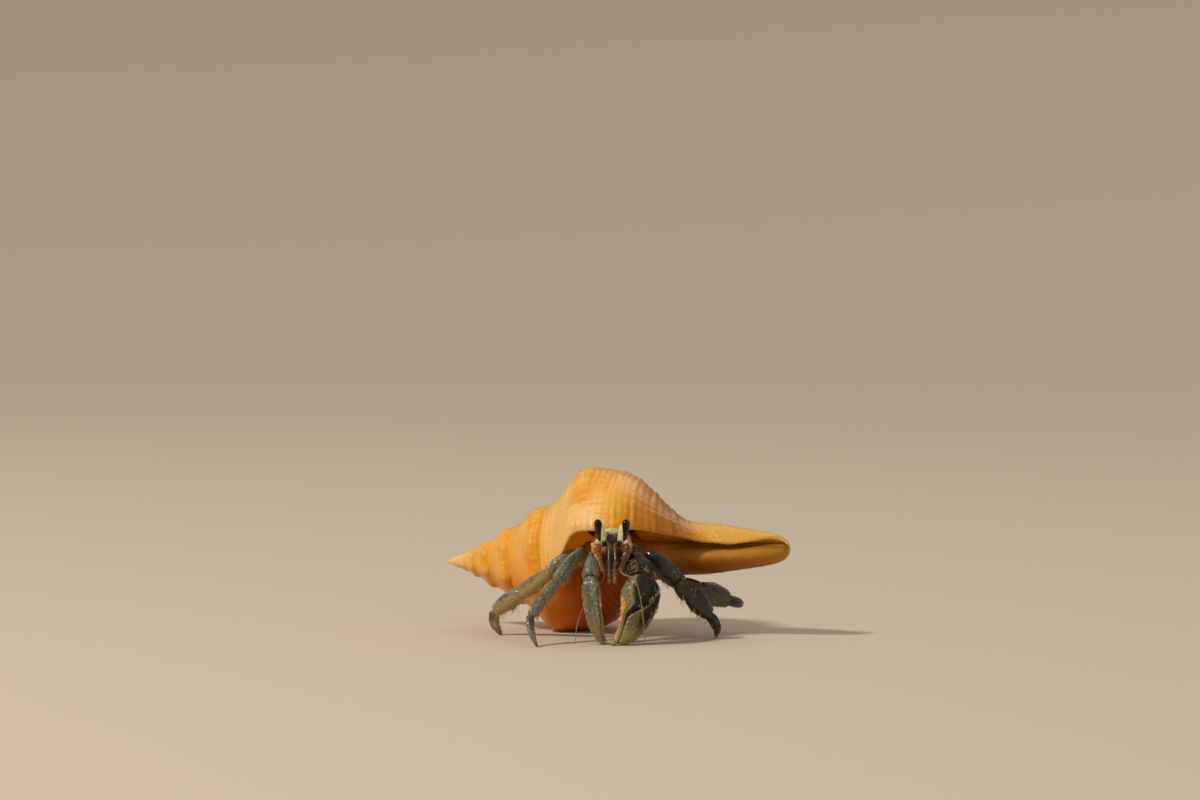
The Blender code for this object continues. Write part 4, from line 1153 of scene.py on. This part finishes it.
HALVES = {"left": 1.0, "right": -1.0}  # which way along X each half of the crab lies
stalk_cream, cornea_black = stalk_finish(), cornea_finish()
for name, side in HALVES.items():
    stalk_node, eye_node = f"eyestalk_{name}", f"eye_{name}"
    split = meeting(stalk_node, eye_node)
    foot, top = free_end(stalk_node, split), free_end(eye_node, split)
    up_the_eye = unit(top - foot)
    stalk = Gather()
    grid, outward, share = egg(foot - 0.25 * up_the_eye, top - 0.42 * up_the_eye, STALK_GIRTHS,
                               (-0.04 * side, 0.07, 0.0), blunt=0.3)
    stalk.rings(grid, share=share, inner=-side * outward[..., 0], front=-outward[..., 1])
    scale_foot = foot + np.array([0.66 * side, -0.3, -0.12])
    scale_tip = scale_foot + np.array([0.02 * side, -0.2, 0.74])
    grid, outward, share = egg(scale_foot, scale_tip, EYE_SCALE_GIRTHS, blunt=0.6, **SCALE_GRID)
    stalk.rings(grid, share=0.5 + 0.5 * share, inner=0.9, front=-0.5)
    stalk.piece(stalk_node + "_skin", stalk_cream, "eyestalk", stalk_node)
    cornea = Gather()
    grid, outward, share = egg(foot + 0.12 * (top - foot), top, CORNEA_GIRTHS, (-0.14 * side, 0.04, 0.0),
                               blunt=0.28)
    cornea.rings(grid + (0.28 * side, -0.12, 0.0), share=share, outer=side * outward[..., 0])
    cornea.piece(f"cornea_{name}", cornea_black, "cornea", eye_node)

# ---------------------------------------------------------------- feelers and mouthparts
# Stout jointed bases that carry the long ringed whips of the antennae, the two bent antennules between them,
# and the third maxillipeds folded under the mouth. All are hard glossy rods with soft skin at their joints.

# Each joint's first and last place on its limb's middle line, and its half heights from end to end.
ANTENNA_JOINTS = (0, 3, (0.5, 0.62, 0.5)), (3, 5, (0.46, 0.44, 0.35)), (5, 8, (0.31, 0.28, 0.25))
ANTENNULE_JOINTS = (0, 2, (0.14,) * 3), (2, 4, (0.13,) * 3), (4, 7, (0.12,) * 3)
PALP_JOINTS = [
    (k, end, (girth * 0.85, girth, girth * 0.85))
    for k, end, girth in ((0, 2, 0.33), (2, 3, 0.35), (3, 4, 0.31), (4, 5, 0.28), (5, 6, 0.24))
]
ANTENNA_SCALE_GIRTHS = (0.2, 0.24, 0.22, 0.17, 0.1), (0.15, 0.17, 0.15, 0.12, 0.07)
LINE_CORNERS = 6  # corners to a ring of the CAD's feelers
WHIP_SIDES, WHIP_STEPS = 14, 5  # points round a whip, and rings of points to each swelling


def centre_line(node, way):
    """Middles of a swept node's rings, from its end farthest towards way. Each ring is the group of corners
    nearest to the middle of the one before it."""
    left = corners(node)
    at = left[np.argmax(left @ np.array(way, float))]
    line = []
    while len(left):
        near = np.argsort(np.linalg.norm(left - at, axis=1))[:LINE_CORNERS]
        at = left[near].mean(axis=0)
        line.append(at)
        left = np.delete(left, near, axis=0)
    return np.array(line)


def whip(gather, line, thick, pitch):
    """A thin ringed thread through some places: its radius falls evenly and swells once each pitch."""
    length = np.linalg.norm(np.diff(line, axis=0), axis=1).sum()
    count = int(length / pitch) * WHIP_STEPS
    path = path_through(line, count)
    share = np.linspace(0, 1, count)
    swelling = np.cos(2 * math.pi * np.arange(count) / WHIP_STEPS)
    radius = (thick[0] + (thick[1] - thick[0]) * share) * (1.0 + 0.08 * swelling)
    radius = radius * rounded(np.minimum(share, 1.0 - share) * 60.0)
    grid, outward = sections(path, radius, radius, (1.0, 0.3, 0.2), turns(WHIP_SIDES))
    gather.limb(grid, outward, unit(np.gradient(path, axis=0)), radius, grain=0.5 + 0.5 * swelling[:, None],
                upper=outward[..., 2], share=share[:, None], thread=1.0)


def jointed(gather, line, joints, seed, up, flat=0.9, tip=False, marks=lambda k, skin: {}, **shape):
    """Adds hard joints in a row along a line, with the marks worked out from each one's number and skin. With
    tip the last has no rim."""
    for k, (start, end, girths) in enumerate(joints):
        cuticle_part(gather, line[start], line[end], girths, up, flat, seed + 4 * k,
                     tip=tip and k == len(joints) - 1, **shape)
        gather.mark(**marks(k, gather.skins[-1]))


def feeler_finish(name, front, back, border, thread_colour, joint_share, farther):
    """Thin cuticle over coloured flesh: one colour in front, one behind and one farther out, a pale border on
    one side, and pale joints."""
    paint = Paint(name)
    names = ("joint", "thread", "upper", "grain", "inner", "far")
    joint, thread, upper, grain, inner, far = map(paint.mark, names)
    where = paint.place()
    clouds, specks = paint.noise(where, 0.5, 3.0, 0.6), paint.noise(where, 0.09, 2.0)
    skin = paint.coats(
        back,
        ((upper + 0.8 * (clouds - 0.5)).step(-0.3, 0.5), front),
        (far.step(0.1, 0.9) * 0.85, farther),
        ((inner + 0.4 * (clouds - 0.5)).step(0.4, 0.8) * 0.85, border),
        (clouds.step(0.55, 0.7) * 0.45, farther),
        ((1.0 - specks.step(0.36, 0.48)) * 0.45, (44, 28, 18)),
        (joint * joint_share, (212, 196, 150)),
        (thread, paint.mix(grain, (64, 58, 46), thread_colour)),
    )
    return paint.finish(skin, 0.18 + 0.2 * specks, paint.bump(specks, 0.015), 0.3, 0.08, 0.12, 0.3)


# Colours in front, behind, of the border and of the thread, how far joints pale, and the colour farther out.
# The crab's left antenna has darker colours than its right as painted shade.
feeler_looks = {
    "antenna_left": ((104, 50, 16), (54, 27, 9), (150, 124, 80), (160, 148, 120), 0.1, (84, 56, 26)),
    "antenna_right": ((154, 76, 22), (70, 36, 12), (200, 178, 128), (160, 148, 120), 0.12, (116, 86, 42)),
    "antennule": ((92, 86, 84), (44, 38, 36), (140, 132, 128), (150, 118, 70), 0.05, (92, 86, 84)),
    "mouth": ((84, 48, 24), (48, 26, 15), (150, 112, 62), (150, 110, 60), 0.15, (172, 122, 62)),
}
feeler_looks = {name: feeler_finish(name + "_cuticle", *look) for name, look in feeler_looks.items()}
feeler_skins = {}
for name, side in HALVES.items():
    left = side > 0
    line = centre_line(f"antenna_{name}", (0.0, 0.3, 1.0))
    antenna = Gather()
    # On the crab's left the far mark is raised, as part of that antenna's painted shade.
    jointed(antenna, line, ANTENNA_JOINTS, 90 + left, (0.0, -1.0, 0.3), 0.92, bow=(0.0, -0.05, 0.0),
            neck=0.08, rough=0.35, cap=0.12, begin=0.1, pinch=0.06,
            marks=lambda k, skin: {"inner": side * skin["outward"][..., 0], "far": 0.5 * k + 0.25 * left})
    foot = line[0] + np.array([0.36 * side, -0.3, 0.3])
    tip = foot + (line[3] - line[0]) * 0.9 + (0.0, -0.12, 0.0)
    grid, outward, share = egg(foot, tip, ANTENNA_SCALE_GIRTHS, blunt=0.8, **SCALE_GRID)
    antenna.rings(grid, grain=0.2, upper=0.5, share=share, joint=1.0, inner=1.0)
    whip(antenna, line[7:], (0.1, 0.04), 0.11)
    antenna.piece(f"feeler_long_{name}", feeler_looks[f"antenna_{name}"], "feeler", f"antenna_{name}")

    line = centre_line(f"antennule_{name}", (0.0, 0.3, 1.0))
    antennule = Gather()
    jointed(antennule, line, ANTENNULE_JOINTS, 110 + left, (0.0, -1.0, 0.0), neck=0.08, rough=0.2, cap=0.1,
            begin=0.08, pinch=0.08)
    hanging = line[-1] - line[-2] + (0.0, -0.1, -0.35)
    whip(antennule, line[-2] + np.linspace(0, 1, 4)[:, None] * hanging, (0.11, 0.05), 0.09)
    antennule.piece(f"feeler_short_{name}", feeler_looks["antennule"], "feeler", f"antennule_{name}")

    line = centre_line(f"maxilliped_{name}", (0.0, 1.0, 0.0))
    palps = Gather()
    jointed(palps, line, PALP_JOINTS, 130 + left, (0.0, -1.0, 0.0), tip=True, neck=0.12, rough=0.3,
            marks=lambda k, skin: {"far": 0.06 * k**2})
    palps.piece(f"palp_{name}", feeler_looks["mouth"], "mouthpart", f"maxilliped_{name}")
    feeler_skins[name] = (antenna.skins, antennule.skins, palps.skins)

# ---------------------------------------------------------------- hind legs
# The small fourth pair, held up inside the shell's mouth against its wall. They are pale and end in a rasp of
# scales that grips the shell.

HIND_JOINTS = [(k, k + 1, (girth * 0.85, girth, girth * 0.9)) for k, girth in enumerate((0.32, 0.33, 0.3))]

for name, side in HALVES.items():
    line = centre_line(f"leg4_{name}", (-side, -0.6, 0.6))
    hind = Gather()
    places = line[np.round(np.linspace(0, len(line) - 1, 4)).astype(int)]
    jointed(hind, places, HIND_JOINTS, 150 + (side > 0), (0.0, 0.0, 1.0), tip=True, neck=0.16, rough=0.9,
            marks=lambda k, skin: {"toe": float(k == 2)})
    hind.piece(f"hind_leg_{name}", leg_cuticle, "leg_shell", f"leg4_{name}")

# ---------------------------------------------------------------- bristles
# Short stiff hairs of horn in tufts of three: gold and longest under the legs, pale along the claws' outer
# edges, and finest on the mouthparts and feelers. Each leans towards the limb's tip.

TUFT_PATCH = 0.003  # breadth of a tuft's own patch on the unwrapped skin
TUFT_HAIRS, HAIR_SIDES = 3, 3
HAIR_RINGS = np.array([0.0, 0.04, 0.35, 0.7, 1.0])  # up the hair
HAIR_GIRTHS = np.array([0.0, 1.0, 0.8, 0.5, 0.0])
LEG_TUFTS = {"base": 6, "merus": 22, "carpus": 14, "propodus": 24, "dactyl": 14}
CLAW_TUFTS = (60, 70, 230, 170)  # on arm, wrist, hand and finger
FACE_TUFTS, ANTENNULE_WHIP_TUFTS = (7, 5, 9), 16  # on each joint of antenna, antennule and palp


class Bristles:
    """Hairs gathered into one coat. A hair is a thin three-sided spindle that bends as the square of its
    length. The unwrapped skin is a grid of bands, in columns and lines."""

    def __init__(self, columns, lines):
        self.size, self.kept = np.array([[columns], [lines]]), []

    def plant(self, skin, tufts, seed, favour, length, thick, stand, cell, droop=0.0, spread=0.3):
        """Plants tufts where favour, a number for each place on the skin, is high. length and thick are in
        millimetres, stand is 1 for upright hairs and 0 for flat ones, droop bends them down, and cell is the
        column and line of the unwrapped skin that this part of the skin fills."""
        random = np.random.default_rng(seed)
        rows, sides = skin["grid"].shape[:2]
        ring = np.maximum(skin["half"], 0.0)[:, None] * np.gradient(skin["share"], axis=0)
        weight = np.clip(favour, 0.0, None) * ring + np.zeros((rows, sides))
        pick = random.choice(rows * sides, tufts, p=(weight / weight.sum()).ravel())
        pick = np.repeat(pick, TUFT_HAIRS)
        count = len(pick)
        row, side = pick // sides, pick % sides
        outward, along = skin["outward"][row, side], skin["along"][row]
        way = stand * outward + (1.0 - stand) * along + spread * random.normal(size=(count, 3))
        way = unit(way + (0.0, 0.0, -droop))
        reach = length * random.uniform(0.55, 1.1, count)
        bend = 0.35 * along + (0.0, 0.0, -0.5 * droop) + 0.15 * random.normal(size=(count, 3))
        root = skin["grid"][row, side] - 0.03 * outward + 0.02 * random.normal(size=(count, 3))
        band = np.array([cell[0] + 0.04 + 0.92 * side / sides, cell[1] + 0.04 + 0.92 * row / rows])
        girth = thick * random.uniform(0.75, 1.2, count)
        self.kept.append((root, way, bend, reach, girth, (band / self.size).T, random.uniform(0, 1, count)))

    def piece(self, name, finish, slot, *nodes):
        """Makes the coat of these CAD nodes: five rings to a hair, the first and the last of them points."""
        root, way, bend, reach, thick, patch, tint = (np.concatenate(values) for values in zip(*self.kept))
        t = HAIR_RINGS
        line = t[:, None] * way[:, None] + (t**2)[:, None] * bend[:, None]
        line = root[:, None] + reach[:, None, None] * line
        across = unit(np.cross(way, np.array([0.31, 0.52, 0.8])))
        other = np.cross(way, across)
        turn = np.arange(HAIR_SIDES) * 2 * math.pi / HAIR_SIDES
        ring = np.cos(turn)[:, None] * across[:, None] + np.sin(turn)[:, None] * other[:, None]
        points = line[:, :, None] + (thick[:, None] * HAIR_GIRTHS)[..., None, None] * ring[:, None]
        # Seen from above its tip, a hair fills its patch: the root's ring is its rim, and the tip its middle.
        spot = 0.5 * TUFT_PATCH * (HAIR_GIRTHS * (1.0 - 0.6 * t))[:, None, None]
        patches = patch[:, None, None] + (spot * np.stack([np.cos(turn), np.sin(turn)], 1))[None]
        number = np.arange(points[..., 0].size).reshape(points.shape[:3])
        number[:, 0], number[:, -1] = number[:, 0, :1], number[:, -1, :1]
        number = np.concatenate([number, number[:, :, :1]], axis=2)
        marks = {
            "up_hair": np.broadcast_to(t[None, :, None], points.shape[:3]).ravel(),
            "tint": np.broadcast_to(tint[:, None, None], points.shape[:3]).ravel(),
        }
        points, patches = points.reshape(-1, 3), patches.reshape(-1, 2)
        add_piece(name, slot, nodes, finish, points, cells(number), marks, patches)


def bristle_finish(name, root_colour, tip_colour, pale):
    """Clear horn: darker at the root, golden towards the tip, and some hairs paler than others."""
    paint = Paint(name)
    up_hair, tint = map(paint.mark, ("up_hair", "tint"))
    cloud = paint.noise(paint.place(), 0.7, 2.0)
    skin = paint.coats(
        root_colour,
        (up_hair.step(0.05, 0.6), tip_colour),
        ((tint + 0.5 * (cloud - 0.5)).step(0.45, 0.9) * 0.75, pale),
    )
    return paint.finish(skin, 0.26 + 0.15 * cloud, coat=0.2, flesh=0.15)


def between(skin, start, rise, end, fall):
    """1 along the middle of a part, from a rise that begins at one share of its length to a fall that ends at
    another."""
    return smooth_step((skin["share"] - start) / rise) * smooth_step((end - skin["share"]) / fall)


leg_bristles = Bristles(len(LEG_PARTS), len(LEG_GIRTHS))
for line_of_leg, (leg, skins) in enumerate(leg_skins.items()):
    for column, (part, skin) in enumerate(zip(LEG_PARTS, skins)):
        low = smooth_step((-skin["upper"] - 0.35) / 0.5)
        middle = between(skin, 0.12, 0.1, 0.97, 0.08)
        tufts = LEG_TUFTS[part] // (2 if leg.endswith("left") else 1)
        seed, cell = 200 + 10 * line_of_leg + column, (column, line_of_leg)
        longest = 0.4 if part == "dactyl" else 0.75
        leg_bristles.plant(skin, tufts, seed, middle * low, longest, 0.02, 0.55, cell, droop=0.35)
        # Short ones all over, lying close.
        where = middle * (0.25 + 0.75 * (1.0 - low))
        leg_bristles.plant(skin, 5 * tufts, seed + 50, where, 0.2, 0.013, 0.28, cell, spread=0.2)
gold = bristle_finish("gold_bristle", (120, 74, 26), (232, 178, 96), (242, 224, 180))
leg_bristles.piece("leg_bristles", gold, "leg_shell",
                   *(f"{leg}_{part}" for leg in LEG_GIRTHS for part in LEG_PARTS))

claw_bristles = Bristles(len(CLAW_PARTS), len(ARM_GIRTHS))
for line_of_claw, (claw, skins) in enumerate(claw_skins.items()):
    for column, (tufts, skin) in enumerate(zip(CLAW_TUFTS, skins)):
        if "inner" in skin:
            outer_edge = smooth_step((-skin["inner"] - 0.55) / 0.35)
            front = smooth_step((skin["upper"] - 0.1) / 0.5)
            inner_edge = smooth_step((skin["inner"] - 0.7) / 0.2)
            where = outer_edge + 0.05 * front + 0.25 * inner_edge
        else:
            where = 0.3 + smooth_step((skin["upper"] + 0.2) / 0.8)
        where = between(skin, 0.1, 0.1, 0.98, 0.06) * where
        claw_bristles.plant(skin, tufts, 300 + 10 * line_of_claw + column, where, 0.36, 0.015, 0.42,
                            (column, line_of_claw), droop=0.1, spread=0.25)
pale = bristle_finish("pale_bristle", (96, 82, 52), (206, 190, 140), (240, 232, 204))
claw_bristles.piece("claw_bristles", pale, "claw_shell",
                    *(f"{claw}_{part}" for claw in ARM_GIRTHS for part in CLAW_PARTS))

face_bristles = Bristles(len(FACE_TUFTS), len(HALVES))
for line_of_side, (name, groups) in enumerate(feeler_skins.items()):
    for column, skins in enumerate(groups):
        for k, skin in enumerate(skins):
            if "thread" in skin and column == 0:
                continue
            tufts = ANTENNULE_WHIP_TUFTS if "thread" in skin else FACE_TUFTS[column]
            seed = 400 + 40 * line_of_side + 8 * column + k
            where = between(skin, 0.2, 0.2, 0.97, 0.1) + 0.0 * skin["upper"]
            face_bristles.plant(skin, tufts, seed, where, 0.26 if column == 2 else 0.16, 0.011, 0.6,
                                (column, line_of_side), spread=0.2)
fine_brown = bristle_finish("face_bristle", (120, 80, 40), (214, 168, 96), (236, 214, 160))
face_bristles.piece("face_bristles", fine_brown, "mouthpart",
                    *(f"{part}_{name}" for name in HALVES for part in ("antenna", "antennule", "maxilliped")))

# ---------------------------------------------------------------- studio
# A plain pale floor that sweeps up at its far edge, a small soft key light from the crab's right, a broad
# fill in front and a broad light behind.

FLOOR_RADIUS, FLOOR_RISE, FLOOR_FLAT = 1.5, 0.5, 0.33  # in metres, and the share of the radius that is flat
# Azimuth and elevation in degrees, distance and breadth in metres, power in watts, and tint.
LIGHTS = {
    "key": (-62.0, 46.0, 0.9, 0.1, 5.2, (1.0, 0.92, 0.80)),
    "fill": (30.0, 30.0, 1.0, 0.7, 0.9, (1.0, 0.97, 0.92)),
    "back": (150.0, 50.0, 1.0, 0.6, 1.1, (1.0, 0.97, 0.92)),
}
ROOM_TINT, ROOM_STRENGTH = (1.0, 0.92, 0.81, 1.0), 0.36


def studio_floor():
    """A round floor, flat in its middle, whose height then rises with the square of the distance."""
    share = np.linspace(0, 1, 40)[:, None]
    turn = np.linspace(0, 2 * math.pi, 97)[None, :]
    rise = FLOOR_RISE * np.clip((share - FLOOR_FLAT) / (1.0 - FLOOR_FLAT), 0, 1) ** 2 + 0 * turn
    spread = FLOOR_RADIUS * share
    points = np.stack([spread * np.cos(turn), spread * np.sin(turn), rise], axis=-1)
    number = np.arange(points[..., 0].size).reshape(points.shape[:2])
    number[:, -1] = number[:, 0]
    number[0] = 0
    # The faces look up, and those at the middle lose the corner that they have twice.
    faces = np.roll(cells(number)[:, ::-1], 1, axis=1).tolist()
    mesh = bpy.data.meshes.new("studio_floor")
    mesh.from_pydata(points.reshape(-1, 3).tolist(), [], [list(dict.fromkeys(face)) for face in faces])
    mesh.shade_smooth()
    mesh.materials.append(Paint("studio_paper").finish((206, 194, 178), 0.75, specular=0.2))
    floor = bpy.data.objects.new("studio_floor", mesh)
    bpy.context.scene.collection.objects.link(floor)


def soft_light(name, azimuth, elevation, distance, size, power, tint):
    """A square light aimed at the crab. Azimuth 0 is in front of the crab and 90 at its left."""
    turn, rise = math.radians(azimuth), math.radians(elevation)
    towards = [math.sin(turn) * math.cos(rise), -math.cos(turn) * math.cos(rise), math.sin(rise)]
    data = bpy.data.lights.new(name, "AREA")
    data.size, data.energy, data.color = size, power, tint
    light = bpy.data.objects.new(name, data)
    light.location = (np.array(towards) * distance).tolist()
    light.rotation_mode = "QUATERNION"
    light.rotation_quaternion = light.location.to_track_quat("Z", "Y")
    bpy.context.scene.collection.objects.link(light)


studio_floor()
for name, light in LIGHTS.items():
    soft_light(name, *light)
world = bpy.data.worlds.new("studio")
world.use_nodes = True
world.node_tree.nodes["Background"].inputs["Color"].default_value = ROOM_TINT
world.node_tree.nodes["Background"].inputs["Strength"].default_value = ROOM_STRENGTH
bpy.context.scene.world = world
bpy.context.scene.view_settings.view_transform = "Standard"

# ---------------------------------------------------------------- camera
# A long lens a little above the crab's eyes, far enough off that the crab takes a third of the picture's
# width.

CAMERA_PLACE = (-0.00181, -0.55903, 0.05832)
CAMERA_PITCH = math.atan(0.057)  # downwards
CAMERA_LENS, CAMERA_SENSOR = 150.0, 36.0  # millimetres
camera_data = bpy.data.cameras.new("camera")
camera_data.lens, camera_data.sensor_width = CAMERA_LENS, CAMERA_SENSOR
camera_data.clip_start, camera_data.clip_end = 0.02, 50.0
camera = bpy.data.objects.new("camera", camera_data)
camera.location = CAMERA_PLACE
camera.rotation_euler = (math.pi / 2 - CAMERA_PITCH, 0.0, 0.0)
bpy.context.scene.collection.objects.link(camera)
bpy.context.scene.camera = camera
